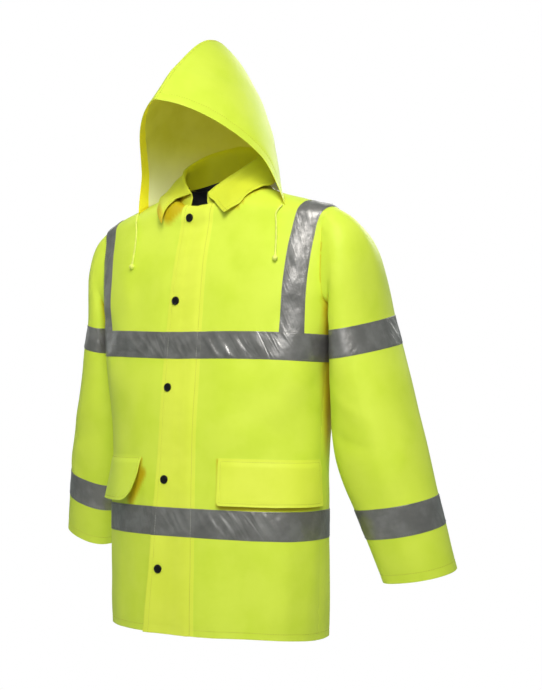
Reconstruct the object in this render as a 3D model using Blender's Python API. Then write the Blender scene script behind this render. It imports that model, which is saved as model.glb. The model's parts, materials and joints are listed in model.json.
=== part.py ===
"""Hi-vis work jacket, hood up, in the filled-out shape of a worn coat with no wearer inside.

Metres, +Z up. The front faces -Y and the wearer's left side is +X. The origin is in the middle of the neck,
level with the wearer's shoulders, which hold the jacket up. Tables and named sizes are in millimetres.
"""

import math

import bpy
import numpy as np
from mathutils import Vector
from mathutils.bvhtree import BVHTree

MM = 0.001

# Wall thicknesses and the gap that is left between pieces that are sewn or pressed together.
CLOTH = 1.2
COLLAR_PLY = 1.6
PLACKET_PLY = 1.6
FLAP_PLY = 2.0
TAPE_PLY = 1.0
LINING_PLY = 1.0
LINING_OFF = 0.6  # from the back panel to the lining
GAP = 0.3

TAPE_WIDTH = 50

# The body's level sections, from the shoulders to the hem. side_z is the height at the side, and front_z and
# back_z are those at the centre front and back. half_w is half the width; the _y columns say how far forward
# the side, the centre front and the centre back lie. square is 2 for an ellipse and more for a boxier section.
SECTION_COLUMNS = ("side_z", "half_w", "side_y", "front_y", "front_z", "back_y", "back_z", "square")
SECTIONS = (
    (-62, 247, -6, -80, -52, 94, -16, 2.6),
    (-110, 246, -3, -95, -102, 110, -84, 2.7),
    (-170, 241, -2, -106, -164, 116, -160, 2.8),
    (-232, 232, -3, -112, -226, 118, -231, 2.9),
    (-291, 223, -5, -117, -285, 118, -291, 3.0),
    (-400, 214, -8, -126, -396, 120, -402, 2.4),
    (-553, 209, -6, -133, -549, 129, -557, 2.25),
    (-660, 207, -5, -138, -654, 134, -667, 2.25),
    (-762, 204, -4, -143, -755, 138, -775, 2.25),
)
SIDE_Z, HALF_W, SIDE_Y, FRONT_Y, FRONT_Z, BACK_Y, BACK_Z, SQUARE = range(len(SECTION_COLUMNS))

# The wearer leans a little: on the right side the shoulder sits lower and the chest's cloth higher.
# Each row is a height, how far the right side is moved up there, and how far up and down that reaches.
LEAN_COLUMNS = ("side_z", "up", "reach")
LEAN = (
    (-40, -8, 70),
    (-262, 15, 110),
)

# The neck seam is an ellipse that rises from the throat to the nape.
NECK_HALF_W, NECK_SIDE_Y, NECK_SIDE_Z = 84, 5, 22
THROAT_Y, THROAT_Z = -70, -21
NAPE_Y, NAPE_Z = 72, 48

# The shoulder seam, from the neck to the tip where the sleeve starts: x, y, z.
SHOULDER_SEAM = (
    (NECK_HALF_W, NECK_SIDE_Y, NECK_SIDE_Z),
    (123, 1, 6),
    (201, -11, -18),
    (240, -8, -31),
    (249, -8, -37),
)
NECK_TURN = 90  # the top edge counts degrees round the neck, then millimetres along the shoulder

# Heights (at the side) of the rows of cloth that edges and tapes follow.
ARM_PIT_Z = -200
CHEST_TAPE_TOP, CHEST_TAPE_END = -248, -294
FLAP_TOP, FLAP_END = -459, -538
HEM_TAPE_TOP, HEM_TAPE_END = -546, -595
HEM_Z = -762
ARC_ROWS = (0, 30, 60)  # degrees of the round over the shoulder, above the first section
PANEL_ROWS = (
    -62, -82, -102, -124, -146, -166, -184, ARM_PIT_Z, -222, CHEST_TAPE_TOP, CHEST_TAPE_END,
    -335, -376, -418, FLAP_TOP, -499, FLAP_END, HEM_TAPE_TOP, HEM_TAPE_END, -638, -682, -725, HEM_Z,
)
ARMHOLE_ROWS = len(ARC_ROWS) + PANEL_ROWS.index(ARM_PIT_Z) + 1

# How far the armhole's edge stays from the side, in degrees of turn, and how square its lower end is.
ARMHOLE_FRONT, ARMHOLE_BACK, ARMHOLE_SQUARE = 21, 25, 3.0

# Lines that run from the top edge to the hem: for each height, how far from the centre they lie.
# The placket's stitched edge, the pocket's front edge (it starts at the neck's side), the two edges of the
# shoulder tape, and the placket's free edge, which lies on the wearer's right.
# The rest of a panel lies between the tape and its armhole or side seam.
LINE_COLUMNS = ("side_z", "placket", "pocket", "tape_in", "tape_out", "free_edge")
FRONT_LINES = (
    (-62, 39, 85, 193, 228, 28),
    (-110, 40, 84, 188, 223, 27),
    (-170, 40, 83, 184, 218, 30),
    (-291, 39, 82, 179, 212, 36),
    (-460, 37, 82, 172, 200, 41),
    (HEM_Z, 43, 82, 168, 192, 46),
)
BACK_LINES = (
    (-62, 39, 85, 183, 218, 39),
    (-110, 39, 84, 177, 213, 39),
    (-170, 39, 83, 173, 211, 39),
    (-291, 39, 82, 170, 210, 39),
    (-460, 40, 82, 166, 202, 40),
    (HEM_Z, 41, 82, 162, 196, 41),
)
PLACKET_AT, FREE_EDGE_AT = LINE_COLUMNS.index("placket"), LINE_COLUMNS.index("free_edge")
SEAM_TAPE_IN, SEAM_TAPE_OUT = 201, 241  # where the shoulder tape crosses the shoulder seam
LINE_COLUMN_COUNTS = (2, 2, 4, 2, 2)  # columns of cloth between one line and the next

# Long soft folds: where each starts and ends (turn in degrees and height), its half width in degrees and
# its height out of the cloth, negative for a hollow. side is 1 for the wearer's left and -1 for the right.
FOLD_COLUMNS = ("half", "side", "turn_0", "z_0", "turn_1", "z_1", "half_width", "height")
FOLDS = (
    ("front", 1, 25, -300, 52, -190, 10, -4),
    ("front", 1, 34, -420, 70, -310, 12, 3),
    ("front", 1, 62, -560, 58, -780, 9, 4),
    ("front", 1, 30, -600, 34, -790, 10, -3),
    ("front", -1, 30, -290, 56, -200, 10, -4),
    ("front", -1, 60, -520, 66, -780, 9, 4),
    ("back", 1, 40, -330, 66, -240, 10, 4),
    ("back", 1, 20, -420, 26, -780, 9, 5),
    ("back", -1, 36, -320, 62, -230, 10, 4),
    ("back", -1, 24, -440, 18, -780, 9, 5),
    ("back", 1, 62, -470, 58, -780, 8, -4),
    ("back", -1, 64, -500, 60, -780, 8, -4),
)

# Sleeve stations down the arm: the middle, and the half widths outwards, inwards, forwards and to the rear.
# The sleeve is boxier on the inside, where it hangs against the body.
SLEEVE_COLUMNS = ("x", "y", "z", "out", "inner", "front", "rear")
SLEEVE = (
    (261, 50, -214, 44, 25, 95, 86),
    (268, 54, -257, 48, 34, 99, 87),
    (277, 57, -305, 53, 52, 95, 86),
    (287, 59, -355, 57, 66, 90, 84),
    (298, 61, -410, 61, 78, 84, 81),
    (310, 64, -465, 64, 79, 79, 78),
    (320, 67, -515, 66, 66, 73, 76),
    (331, 73, -560, 65, 61, 69, 74),
    (350, 84, -640, 65, 52, 61, 69),
)
INNER_SQUARE = 0.68
# How far each sleeve hangs down, how far its rings lean with it, and how far they dip to the front at the top.
SLEEVE_SIDES = {"left": (1.022, 0.6, 0.12), "right": (0.972, 1.3, 0)}
SLEEVE_DIP_FADES = 600  # down the arm
SLEEVE_AT = SLEEVE_COLUMNS.index("z")
UPPER_TAPE_TOP, UPPER_TAPE_END = -219, -267
LOWER_TAPE_TOP, LOWER_TAPE_END = -518, -566
SLEEVE_ROWS = (
    UPPER_TAPE_TOP, UPPER_TAPE_END, -310, -352, -394, -436, -478,
    LOWER_TAPE_TOP, LOWER_TAPE_END, -592, -617, -640,
)
CAP_ROWS = (0, 0.12, 0.28, 0.46, 0.64, 0.82)  # shares of the way from the armhole to the first station

# How the sleeve leaves the armhole, at its top, at the pit and more to the rear: x, y, z.
CAP_LEAVE_TOP = np.array([0.85, 0.1, -0.45])
CAP_LEAVE_PIT = np.array([1.0, 0.1, -0.3])
CAP_LEAVE_REAR = np.array([0.1, 0.3, 0.1])
CAP_FULLNESS = 1.1
SLEEVE_GAP = 1.8

# Snap fasteners down the placket.
SNAP_COLUMNS = ("x", "z")
SNAPS = ((-9, -40), (-17, -187), (-24, -337), (-24, -495), (-31, -647))
SNAP_RADIUS, SNAP_HEIGHT = 7.5, 3
SNAP_SEAT = 0.3  # the cap sits on the rounded cloth, which meets it only at its middle

# The collar from its front end to the nape: degrees round the neck seam, the fold and the leaf's edge.
COLLAR_COLUMNS = ("turn", "fold_x", "fold_y", "fold_z", "edge_x", "edge_y", "edge_z")
COLLAR = (
    (13, 19, -67, 2, 64, -84, -38),
    (35, 44, -50, 25, 88, -70, -18),
    (62, 66, -24, 48, 106, -34, 8),
    (90, 74, 6, 68, 108, 8, 26),
    (130, 56, 44, 92, 78, 54, 50),
    (180, 0, 60, 104, 0, 76, 64),
)
COLLAR_ROLL = 3.2  # half the width of the roll along the fold
COLLAR_LEAF_START = 6  # the first point of the path that lies on the leaf

# Arches of the hood, from its opening to its foot at the nape. share is how far back the arch lies. Each is
# a Bezier from its foot to the centre seam: the foot's turn x and y, two handles and the top's y and z.
HOOD_COLUMNS = ("share", "foot_x", "foot_y", "low_x", "low_y", "low_z", "high_x", "high_y", "high_z", "top_y", "top_z")
HOOD = (
    (0.00, 151, -28, 139, -48, 62, 92, -146, 130, -198, 147),
    (0.22, 136, -8, 131, -26, 90, 80, -100, 186, -131, 221),
    (0.45, 119, 12, 116, 8, 108, 64, -24, 236, -42, 283),
    (0.66, 102, 34, 98, 38, 110, 48, 40, 224, 34, 272),
    (0.85, 80, 56, 80, 66, 80, 40, 86, 150, 84, 186),
    (1.00, 60, 68, 46, 78, 40, 24, 85, 44, 86, 46),
)
HOOD_ROWS, HOOD_STEPS = 14, 11
HOOD_REST = 2.8  # the hood's edge stands this far above the shoulders' cloth

# Each cord end runs from the hood's front corner down the chest, and ends in a moulded stop.
CORD_RADIUS, CORD_STOP_RADIUS, CORD_STOP_LENGTH = 1.3, 3.2, 11
CORD_OFF = 4.2  # from the chest's cloth to the middle of the cord
CORD_COLUMNS = ("x", "z")
CORDS = {
    "cord_left": ((160, -27), (163, -38), (166, -60), (170, -88), (172, -125)),
    "cord_right": ((-139, -25), (-136, -38), (-130, -60), (-126, -90), (-127, -126)),
}


def spline(table, key, at):
    """The table's rows, as smooth functions of one column, at a value of that column."""
    rows = np.array(table, float)
    keys = rows[:, key]
    if keys[0] > keys[-1]:
        rows, keys = rows[::-1], keys[::-1]
    at = min(max(at, keys[0]), keys[-1])
    i = min(max(int(np.searchsorted(keys, at)) - 1, 0), len(keys) - 2)

    def slope(k):
        low, high = max(k - 1, 0), min(k + 1, len(keys) - 1)
        return (rows[high] - rows[low]) / (keys[high] - keys[low])

    width = keys[i + 1] - keys[i]
    t = (at - keys[i]) / width
    return (
        (2 * t**3 - 3 * t**2 + 1) * rows[i]
        + (t**3 - 2 * t**2 + t) * width * slope(i)
        + (3 * t**2 - 2 * t**3) * rows[i + 1]
        + (t**3 - t**2) * width * slope(i + 1)
    )


def smooth(t):
    t = min(max(t, 0.0), 1.0)
    return t * t * (3 - 2 * t)


def unit(v):
    return v / np.linalg.norm(v, axis=-1, keepdims=True)


# ---- The body's surface ----


def fold_height(half, side, turn, z):
    """How far the folds lift the cloth at this turn and height."""
    total = 0.0
    for of_half, of_side, turn_0, z_0, turn_1, z_1, half_width, height in FOLDS:
        if (of_half, of_side) != (half, side):
            continue
        down = (z - z_0) / (z_1 - z_0)
        middle = turn_0 + (turn_1 - turn_0) * min(max(down, 0), 1)
        fade = smooth(down * 2.5 + 0.6) * smooth((1.15 - down) * 2.5)
        total += height * fade * math.exp(-(((turn - middle) / half_width) ** 2))
    return total


def lean(side, side_z, share):
    """How far the wearer's lean moves the right side's cloth up, for its share of the way to the side."""
    if side == 1:
        return 0
    return share * sum(up * math.exp(-(((side_z - z) / reach) ** 2)) for z, up, reach in LEAN)


def section_point(half, side, side_z, turn):
    """A point of the body's surface: turn is 0 at the centre front or back and 90 at the side."""
    row = spline(SECTIONS, SIDE_Z, side_z)
    centre_y, centre_z = (row[FRONT_Y], row[FRONT_Z]) if half == "front" else (row[BACK_Y], row[BACK_Z])
    s, c = math.sin(math.radians(turn)), max(math.cos(math.radians(turn)), 0)
    power = 2 / row[SQUARE]
    x = row[HALF_W] * s**power
    y = row[SIDE_Y] + (centre_y - row[SIDE_Y]) * c**power
    z = row[SIDE_Z] + (centre_z - row[SIDE_Z]) * c * c + lean(side, side_z, s)
    depth = abs(centre_y - row[SIDE_Y])
    out = unit(np.array([x / row[HALF_W] ** 2, (y - row[SIDE_Y]) / depth**2, 0]))
    point = np.array([x, y, z]) + out * fold_height(half, side, turn, z)
    return point


def turn_at(side_z, x):
    row = spline(SECTIONS, SIDE_Z, side_z)
    return math.degrees(math.asin(min(x / row[HALF_W], 1) ** (row[SQUARE] / 2)))


def edge_turn(half, side_z):
    """The turn of a panel's outer edge: the armhole above the arm pit, and the side seam below it."""
    if side_z <= ARM_PIT_Z:
        return 90
    spread = ARMHOLE_FRONT if half == "front" else ARMHOLE_BACK
    top = SHOULDER_SEAM[-1][2]
    down = (top - side_z) / (top - ARM_PIT_Z)
    return 90 - spread * (1 - down**ARMHOLE_SQUARE) ** (1 / ARMHOLE_SQUARE)


def top_point(half, side, way):
    """A point of a panel's top edge: along the neck seam, then along the shoulder seam."""
    if way > NECK_TURN:
        x, y, z = spline(SHOULDER_SEAM, 0, NECK_HALF_W + way - NECK_TURN)
        share = (x - NECK_HALF_W) / (SHOULDER_SEAM[-1][0] - NECK_HALF_W)
        return np.array([x, y, z + lean(side, SHOULDER_SEAM[-1][2], share)])
    s, c = math.sin(math.radians(way)), math.cos(math.radians(way))
    centre_y, centre_z = (THROAT_Y, THROAT_Z) if half == "front" else (NAPE_Y, NAPE_Z)
    return np.array(
        [
            NECK_HALF_W * s,
            NECK_SIDE_Y + (centre_y - NECK_SIDE_Y) * c,
            NECK_SIDE_Z + (centre_z - NECK_SIDE_Z) * c * c,
        ]
    )


def spread_between(stops):
    """Values through the lines' own values, with each gap cut into that gap's count of columns."""
    values = [stops[0]]
    for start, end, count in zip(stops, stops[1:], LINE_COLUMN_COUNTS):
        values += [start + (end - start) * (k + 1) / count for k in range(count)]
    return values


def half_panel(half, side):
    """Rows and columns of points from the centre line to the edge, as seen for the wearer's left."""
    lines = FRONT_LINES if half == "front" else BACK_LINES
    placket = lines[0][PLACKET_AT if side == 1 else FREE_EDGE_AT]
    top_stops = [
        0,
        math.degrees(math.asin(placket / NECK_HALF_W)),
        NECK_TURN,
        NECK_TURN + SEAM_TAPE_IN - NECK_HALF_W,
        NECK_TURN + SEAM_TAPE_OUT - NECK_HALF_W,
        NECK_TURN + SHOULDER_SEAM[-1][0] - NECK_HALF_W,
    ]
    top = np.array([top_point(half, side, way) for way in spread_between(top_stops)])
    rows = []
    for side_z in PANEL_ROWS:
        across = spline(lines, 0, side_z)
        if side == -1:
            across[PLACKET_AT] = across[FREE_EDGE_AT]
        stops = [0] + [turn_at(side_z, x) for x in across[1:FREE_EDGE_AT]] + [edge_turn(half, side_z)]
        rows.append([section_point(half, side, side_z, turn) for turn in spread_between(stops)])
    rows = np.array(rows)
    arcs = []
    for degrees in ARC_ROWS:
        s, c = math.sin(math.radians(degrees)), math.cos(math.radians(degrees))
        share = np.array([degrees / 90, s, 1 - c])
        arcs.append(top + (rows[0] - top) * share)
    return np.concatenate([np.array(arcs), rows])


def mirrored(points):
    """The same cloth on the wearer's right: columns still run the same way round the body."""
    return points[:, ::-1] * np.array([-1, 1, 1])


class Cloth:
    """A grid of points with their outward normals. Rows run down and columns run round the body, from the
    front through the wearer's left side. A ring's last column is followed by its first."""

    def __init__(self, points, normals=None, ring=False):
        self.points = points
        self.ring = ring
        if normals is None:
            if ring:
                round_ = (np.roll(points, -1, axis=1) - np.roll(points, 1, axis=1)) / 2
            else:
                round_ = np.gradient(points, axis=1)
            normals = unit(np.cross(np.gradient(points, axis=0), round_))
        self.normals = normals

    def part(self, rows=slice(None), columns=slice(None)):
        whole_ring = self.ring and columns == slice(None)
        return Cloth(self.points[rows, columns], self.normals[rows, columns], whole_ring)

    def lifted(self, height):
        height = np.asarray(height, float)
        return self.points + self.normals * (height[..., None] if height.ndim else height)


def trimmed(points, top=0, end=0, left=0, right=0):
    """Draws the grid's edges in by these lengths."""
    points = points.copy()
    if top:
        points[0] += unit(points[1] - points[0]) * top
    if end:
        points[-1] += unit(points[-2] - points[-1]) * end
    if left:
        points[:, 0] += unit(points[:, 1] - points[:, 0]) * left
    if right:
        points[:, -1] += unit(points[:, -2] - points[:, -1]) * right
    return points


# ---- Making objects ----


def material(name, colour, roughness, metallic=0.0):
    made = bpy.data.materials.get(name)
    if made is None:
        made = bpy.data.materials.new(name)
        made.use_nodes = True
        shader = made.node_tree.nodes["Principled BSDF"]
        shader.inputs["Base Color"].default_value = (*colour, 1)
        shader.inputs["Roughness"].default_value = roughness
        shader.inputs["Metallic"].default_value = metallic
    return made


def shell_cloth():
    return material("hi_vis_cloth", (0.72, 0.93, 0.05), 0.55)


def reflective():
    return material("reflective_tape", (0.3, 0.29, 0.28), 0.35, 0.4)


def add_object(name, vertices, faces, surface):
    mesh = bpy.data.meshes.new(name)
    mesh.from_pydata([tuple(np.asarray(v) * MM) for v in vertices], [], faces)
    mesh.validate()
    mesh.shade_smooth()
    mesh.set_sharp_from_angle(angle=math.radians(50))
    made = bpy.data.objects.new(name, mesh)
    mesh.materials.append(surface)
    bpy.context.scene.collection.objects.link(made)
    return made


def wall(name, cloth, inner, outer, surface, trims=None):
    """A closed wall between two lifts of the cloth, with its edges drawn in where it meets a seam."""
    low, high = cloth.lifted(inner), cloth.lifted(outer)
    if trims:
        low, high = trimmed(low, **trims), trimmed(high, **trims)
    rows, columns = low.shape[:2]
    vertices = np.concatenate([high.reshape(-1, 3), low.reshape(-1, 3)])
    under = rows * columns

    def at(i, j):
        return i * columns + j % columns

    faces = []
    spans = columns if cloth.ring else columns - 1
    for i in range(rows - 1):
        for j in range(spans):
            a, b, c, d = at(i, j), at(i + 1, j), at(i + 1, j + 1), at(i, j + 1)
            faces += [(a, b, c), (a, c, d), (under + a, under + c, under + b), (under + a, under + d, under + c)]
    for j in range(spans):
        first, last = rows - 1, 0
        a, b = at(last, j), at(last, j + 1)
        faces += [(a, b, under + b), (a, under + b, under + a)]
        a, b = at(first, j + 1), at(first, j)
        faces += [(a, b, under + b), (a, under + b, under + a)]
    if not cloth.ring:
        for i in range(rows - 1):
            a, b = at(i + 1, 0), at(i, 0)
            faces += [(a, b, under + b), (a, under + b, under + a)]
            a, b = at(i, columns - 1), at(i + 1, columns - 1)
            faces += [(a, b, under + b), (a, under + b, under + a)]
    return add_object(name, vertices, faces, surface)


# ---- Body panels and what lies on them ----


def row_of(side_z):
    return len(ARC_ROWS) + PANEL_ROWS.index(side_z)


def column_of(line):
    return sum(LINE_COLUMN_COUNTS[: LINE_COLUMNS.index(line)])


def body_cloth():
    """The three panels' cloth: front left, front right and back."""
    front_left = Cloth(half_panel("front", 1))
    front_right = Cloth(mirrored(half_panel("front", -1)))
    back_left, back_right = half_panel("back", 1), half_panel("back", -1)
    back = Cloth(np.concatenate([back_left[:, ::-1], back_right[:, 1:] * np.array([-1, 1, 1])], axis=1))
    return front_left, front_right, back


def add_panels(front_left, front_right, back):
    half_gap = GAP / 2
    shell = shell_cloth()
    wall("front_left", front_left, 0, CLOTH, shell, {"top": half_gap, "left": half_gap, "right": half_gap})
    wall("front_right", front_right, 0, CLOTH, shell, {"top": half_gap, "left": half_gap, "right": half_gap})
    wall("back", back, 0, CLOTH, shell, {"top": half_gap, "left": half_gap, "right": half_gap})


def add_neck_lining(back):
    """The dark lining of the back, where the open neck shows it."""
    reach = column_of("pocket") + 2
    middle = (back.points.shape[1] - 1) // 2
    strip = back.part(slice(0, row_of(PANEL_ROWS[1]) + 1), slice(middle - reach, middle + reach + 1))
    wall(
        "neck_lining", strip, -LINING_OFF - LINING_PLY, -LINING_OFF,
        material("dark_lining", (0.02, 0.025, 0.045), 0.7), {"top": 2.0},
    )


def placket_strip(front_left, front_right):
    """The cloth under the placket, from its free edge on the right front to its stitched edge."""
    count = column_of("placket")
    return Cloth(
        np.concatenate([front_right.points[:, -1 - count : -1], front_left.points[:, : count + 1]], axis=1),
        np.concatenate([front_right.normals[:, -1 - count : -1], front_left.normals[:, : count + 1]], axis=1),
    )


def placket_lift(strip):
    """The placket lies flat, and its free edge lifts and swings out towards the hem."""
    rows, columns = strip.points.shape[:2]
    lift = np.full((rows, columns), CLOTH + GAP)
    for i in range(rows):
        low = smooth((-strip.points[i, 0, 2] - 400) / 200)
        lift[i, 0] += 6 * low
        lift[i, 1] += 2.5 * low
    return lift


def add_placket(front_left, front_right):
    strip = placket_strip(front_left, front_right)
    free_edge = strip.points[:, 0]
    for i in range(len(free_edge)):
        free_edge[i, 0] -= 11 * smooth((-free_edge[i, 2] - 480) / 280)
    lift = placket_lift(strip)
    top = lift + PLACKET_PLY
    wall("placket", strip, lift, top, shell_cloth(), {"top": 1.0})
    for name, first, last in (
        ("tape_chest_placket", CHEST_TAPE_TOP, CHEST_TAPE_END),
        ("tape_hem_placket", HEM_TAPE_TOP, HEM_TAPE_END),
    ):
        rows = slice(row_of(first), row_of(last) + 1)
        wall(name, strip.part(rows), top[rows] + GAP, top[rows] + GAP + TAPE_PLY, reflective())
    add_snaps(strip, top)


def add_snaps(strip, top):
    """Black snap fasteners in a column near the placket's free edge."""
    dark = material("black_snap", (0.012, 0.012, 0.014), 0.3)
    face = Cloth(strip.lifted(top + GAP))
    for k, (x, z) in enumerate(SNAPS):
        i = int(np.argmax(face.points[:, 1, 2] <= z)) - 1
        share = (face.points[i, 1, 2] - z) / (face.points[i, 1, 2] - face.points[i + 1, 1, 2])
        row = face.points[i] * (1 - share) + face.points[i + 1] * share
        normal = unit(face.normals[i, 1] * (1 - share) + face.normals[i + 1, 1] * share)
        j = int(np.argmax(row[:, 0] >= x)) - 1
        across = (x - row[j, 0]) / (row[j + 1, 0] - row[j, 0])
        seat = row[j] * (1 - across) + row[j + 1] * across
        add_snap(f"snap_{k + 1}", seat + normal * SNAP_SEAT, normal, dark)


def add_snap(name, seat, normal, surface):
    """A round cap with a rolled rim and a dished middle, turned about its own axis."""
    profile = (
        (SNAP_RADIUS * 0.94, 0.0),
        (SNAP_RADIUS, SNAP_HEIGHT * 0.35),
        (SNAP_RADIUS * 0.93, SNAP_HEIGHT * 0.85),
        (SNAP_RADIUS * 0.78, SNAP_HEIGHT),
        (SNAP_RADIUS * 0.45, SNAP_HEIGHT * 0.8),
    )
    sides = 16
    turn = Vector((0, 0, 1)).rotation_difference(Vector(normal))
    vertices, faces = [], []
    for radius, height in profile:
        for k in range(sides):
            angle = 2 * math.pi * k / sides
            point = turn @ Vector((radius * math.cos(angle), radius * math.sin(angle), height))
            vertices.append(seat + np.array(point))
    for i in range(len(profile) - 1):
        for k in range(sides):
            a, b = i * sides + k, i * sides + (k + 1) % sides
            faces.append((a, b, b + sides, a + sides))
    faces.append(tuple(reversed(range(sides))))
    faces.append(tuple(range((len(profile) - 1) * sides, len(profile) * sides)))
    add_object(name, vertices, faces, surface)


def add_pocket_flaps(front_left, front_right):
    """Each flap hangs from its top edge, and its lower front corner stands off the panel."""
    rows = slice(row_of(FLAP_TOP), row_of(FLAP_END) + 1)
    first = column_of("pocket")
    for name, front, columns, corner, end in (
        ("pocket_flap_left", front_left, slice(first, None), 7, 4),
        ("pocket_flap_right", front_right, slice(None, -first), 24, 9),
    ):
        strip = front.part(rows, columns)
        shape = strip.points.shape[:2]
        down = np.linspace(0, 1, shape[0])[:, None] ** 1.3
        along = np.linspace(0, 1, shape[1])[None, :]
        if front is front_right:
            along = along[:, ::-1]
        lift = CLOTH + GAP + down * (corner + (end - corner) * along)
        wall(name, strip, lift, lift + FLAP_PLY, shell_cloth(), {"left": 1.0, "right": 1.0})


def joined(*cloths):
    """One strip of cloth from several that follow each other round the body."""
    points = [cloths[0].points] + [c.points[:, 1:] for c in cloths[1:]]
    normals = [cloths[0].normals] + [c.normals[:, 1:] for c in cloths[1:]]
    return Cloth(np.concatenate(points, axis=1), np.concatenate(normals, axis=1))


def add_body_tapes(front_left, front_right, back):
    """The chest and hem bands, from the placket round the back, and the two bands over the shoulders."""
    edge = column_of("placket")
    low, high = CLOTH + GAP, CLOTH + GAP + TAPE_PLY
    for name, first, last in (
        ("tape_chest", CHEST_TAPE_TOP, CHEST_TAPE_END),
        ("tape_hem", HEM_TAPE_TOP, HEM_TAPE_END),
    ):
        rows = slice(row_of(first), row_of(last) + 1)
        band = joined(
            front_left.part(rows, slice(edge, None)), back.part(rows), front_right.part(rows, slice(None, -edge))
        )
        wall(name, band, low, high, reflective(), {"left": GAP, "right": GAP})
    rows = slice(0, row_of(CHEST_TAPE_TOP) + 1)
    inner, outer = column_of("tape_in"), column_of("tape_out")
    last_back = back.points.shape[1] - 1
    middle = last_back // 2
    for name, front, front_columns, back_columns in (
        ("tape_shoulder_left", front_left, slice(inner, outer + 1), slice(middle - outer, middle - inner + 1)),
        (
            "tape_shoulder_right", front_right,
            slice(front_right.points.shape[1] - 1 - outer, front_right.points.shape[1] - inner),
            slice(middle + inner, middle + outer + 1),
        ),
    ):
        add_shoulder_tape(name, front.part(rows, front_columns), back.part(rows, back_columns), low, high)


def add_shoulder_tape(name, front, back, low, high):
    """A band up the front, over the shoulder seam and down the back."""
    points = np.concatenate([back.points[::-1, ::-1], front.points[1:]])
    normals = np.concatenate([back.normals[::-1, ::-1], front.normals[1:]])
    ridge = back.points.shape[0] - 1
    normals[ridge] = unit(front.normals[0] + back.normals[0, ::-1])
    wall(name, Cloth(points, normals), low, high, reflective(), {"top": GAP, "end": GAP})


# ---- Sleeves ----


def armhole(front_edge, back_edge):
    """The armhole's edge as a ring: down the back from the shoulder tip, and up the front."""
    return np.concatenate([back_edge[:ARMHOLE_ROWS], front_edge[ARMHOLE_ROWS - 2 : 0 : -1]])


def sleeve_ring(at, angles, drop, ring_lean, dip):
    """Points round the sleeve: outside, back, inside and front. Also the way up the arm."""
    x, y, z, out_width, inner_width, front_width, rear_width = spline(SLEEVE, SLEEVE_AT, at)
    axis = unit(spline(SLEEVE, SLEEVE_AT, at + 5)[:3] - spline(SLEEVE, SLEEVE_AT, at - 5)[:3])
    dip *= 1 - (SLEEVE[0][SLEEVE_AT] - at) / SLEEVE_DIP_FADES
    up = unit(axis * ring_lean + np.array([0, 0, 1]) * (1 - ring_lean) - np.array([0, dip, 0]))
    out = unit(np.array([1, 0, 0]) - up * up[0])
    rear = np.cross(up, out)
    c, s = np.cos(angles), np.sin(angles)
    power = np.where(c < -1e-9, INNER_SQUARE, 1)
    across = np.where(c > 0, out_width, inner_width) * np.sign(c) * np.abs(c) ** power
    along = np.where(s > 0, rear_width, front_width) * np.sign(s) * np.abs(s) ** power
    return np.array([x, y, z * drop]) + out * across + rear * along, axis


def sleeve_points(start, drop, ring_lean, dip):
    """Rows of points from the armhole to the cuff, for a sleeve on the wearer's left."""
    angles = np.radians(np.arange(len(start)) * 360 / len(start))[:, None]
    first, axis = sleeve_ring(SLEEVE_ROWS[0], angles, drop, ring_lean, dip)
    reach = np.linalg.norm(first - start, axis=1, keepdims=True)
    inside = (1 - np.cos(angles)) / 2
    leave = unit(CAP_LEAVE_TOP * (1 - inside) + CAP_LEAVE_PIT * inside + CAP_LEAVE_REAR * np.sin(angles))
    rows = []
    for t in CAP_ROWS:
        rows.append(
            (2 * t**3 - 3 * t**2 + 1) * start
            + (t**3 - 2 * t**2 + t) * reach * CAP_FULLNESS * leave
            + (3 * t**2 - 2 * t**3) * first
            - (t**3 - t**2) * reach * CAP_FULLNESS * axis
        )
    rows += [sleeve_ring(at, angles, drop, ring_lean, dip)[0] for at in SLEEVE_ROWS]
    return np.array(rows)


def add_sleeves(front_left, front_right, back):
    flip = np.array([-1, 1, 1])
    armholes = {
        "left": armhole(front_left.points[:, -1], back.points[:, 0]),
        "right": armhole(front_right.points[:, 0] * flip, back.points[:, -1] * flip),
    }
    for name, (drop, ring_lean, dip) in SLEEVE_SIDES.items():
        points = sleeve_points(armholes[name], drop, ring_lean, dip)
        cloth = Cloth(points if name == "left" else mirrored(points), ring=True)
        wall(f"sleeve_{name}", cloth, 0, CLOTH, shell_cloth(), {"top": SLEEVE_GAP})
        for band, first, last in (
            ("upper", UPPER_TAPE_TOP, UPPER_TAPE_END),
            ("lower", LOWER_TAPE_TOP, LOWER_TAPE_END),
        ):
            rows = slice(len(CAP_ROWS) + SLEEVE_ROWS.index(first), len(CAP_ROWS) + SLEEVE_ROWS.index(last) + 1)
            wall(
                f"tape_sleeve_{band}_{name}", cloth.part(rows),
                CLOTH + GAP, CLOTH + GAP + TAPE_PLY, reflective(),
            )


# ---- Where pieces rest ----


def panel_tree(*panels):
    """The outer faces of the panels, to find where a piece rests on them."""
    vertices, faces = [], []
    for cloth in panels:
        grid = cloth.lifted(CLOTH)
        rows, columns = grid.shape[:2]
        start = len(vertices)
        vertices += [Vector(p) for p in grid.reshape(-1, 3)]
        for i in range(rows - 1):
            for j in range(columns - 1):
                a = start + i * columns + j
                faces.append((a, a + columns, a + columns + 1, a + 1))
    return BVHTree.FromPolygons(vertices, faces)


def resting(tree, x, y):
    """A point just above the shoulders' cloth, or far below it over the open neck."""
    hit = tree.ray_cast(Vector((x, y, 150)), Vector((0, 0, -1)))[0]
    height = hit.z if hit else SHOULDER_SEAM[-1][2]
    return np.array([x, y, height + HOOD_REST])


def hanging(tree, x, z):
    """A point in front of the chest's cloth, where a cord lies on it."""
    hit = tree.ray_cast(Vector((x, -400, z)), Vector((0, 1, 0)))
    return np.array(hit[0]) + np.array([0, -1, 0]) * CORD_OFF / max(-hit[1].y, 0.5)


# ---- Collar ----


def neck_seam(turn):
    return top_point("front", 1, turn) if turn <= 90 else top_point("back", 1, 180 - turn)


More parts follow.
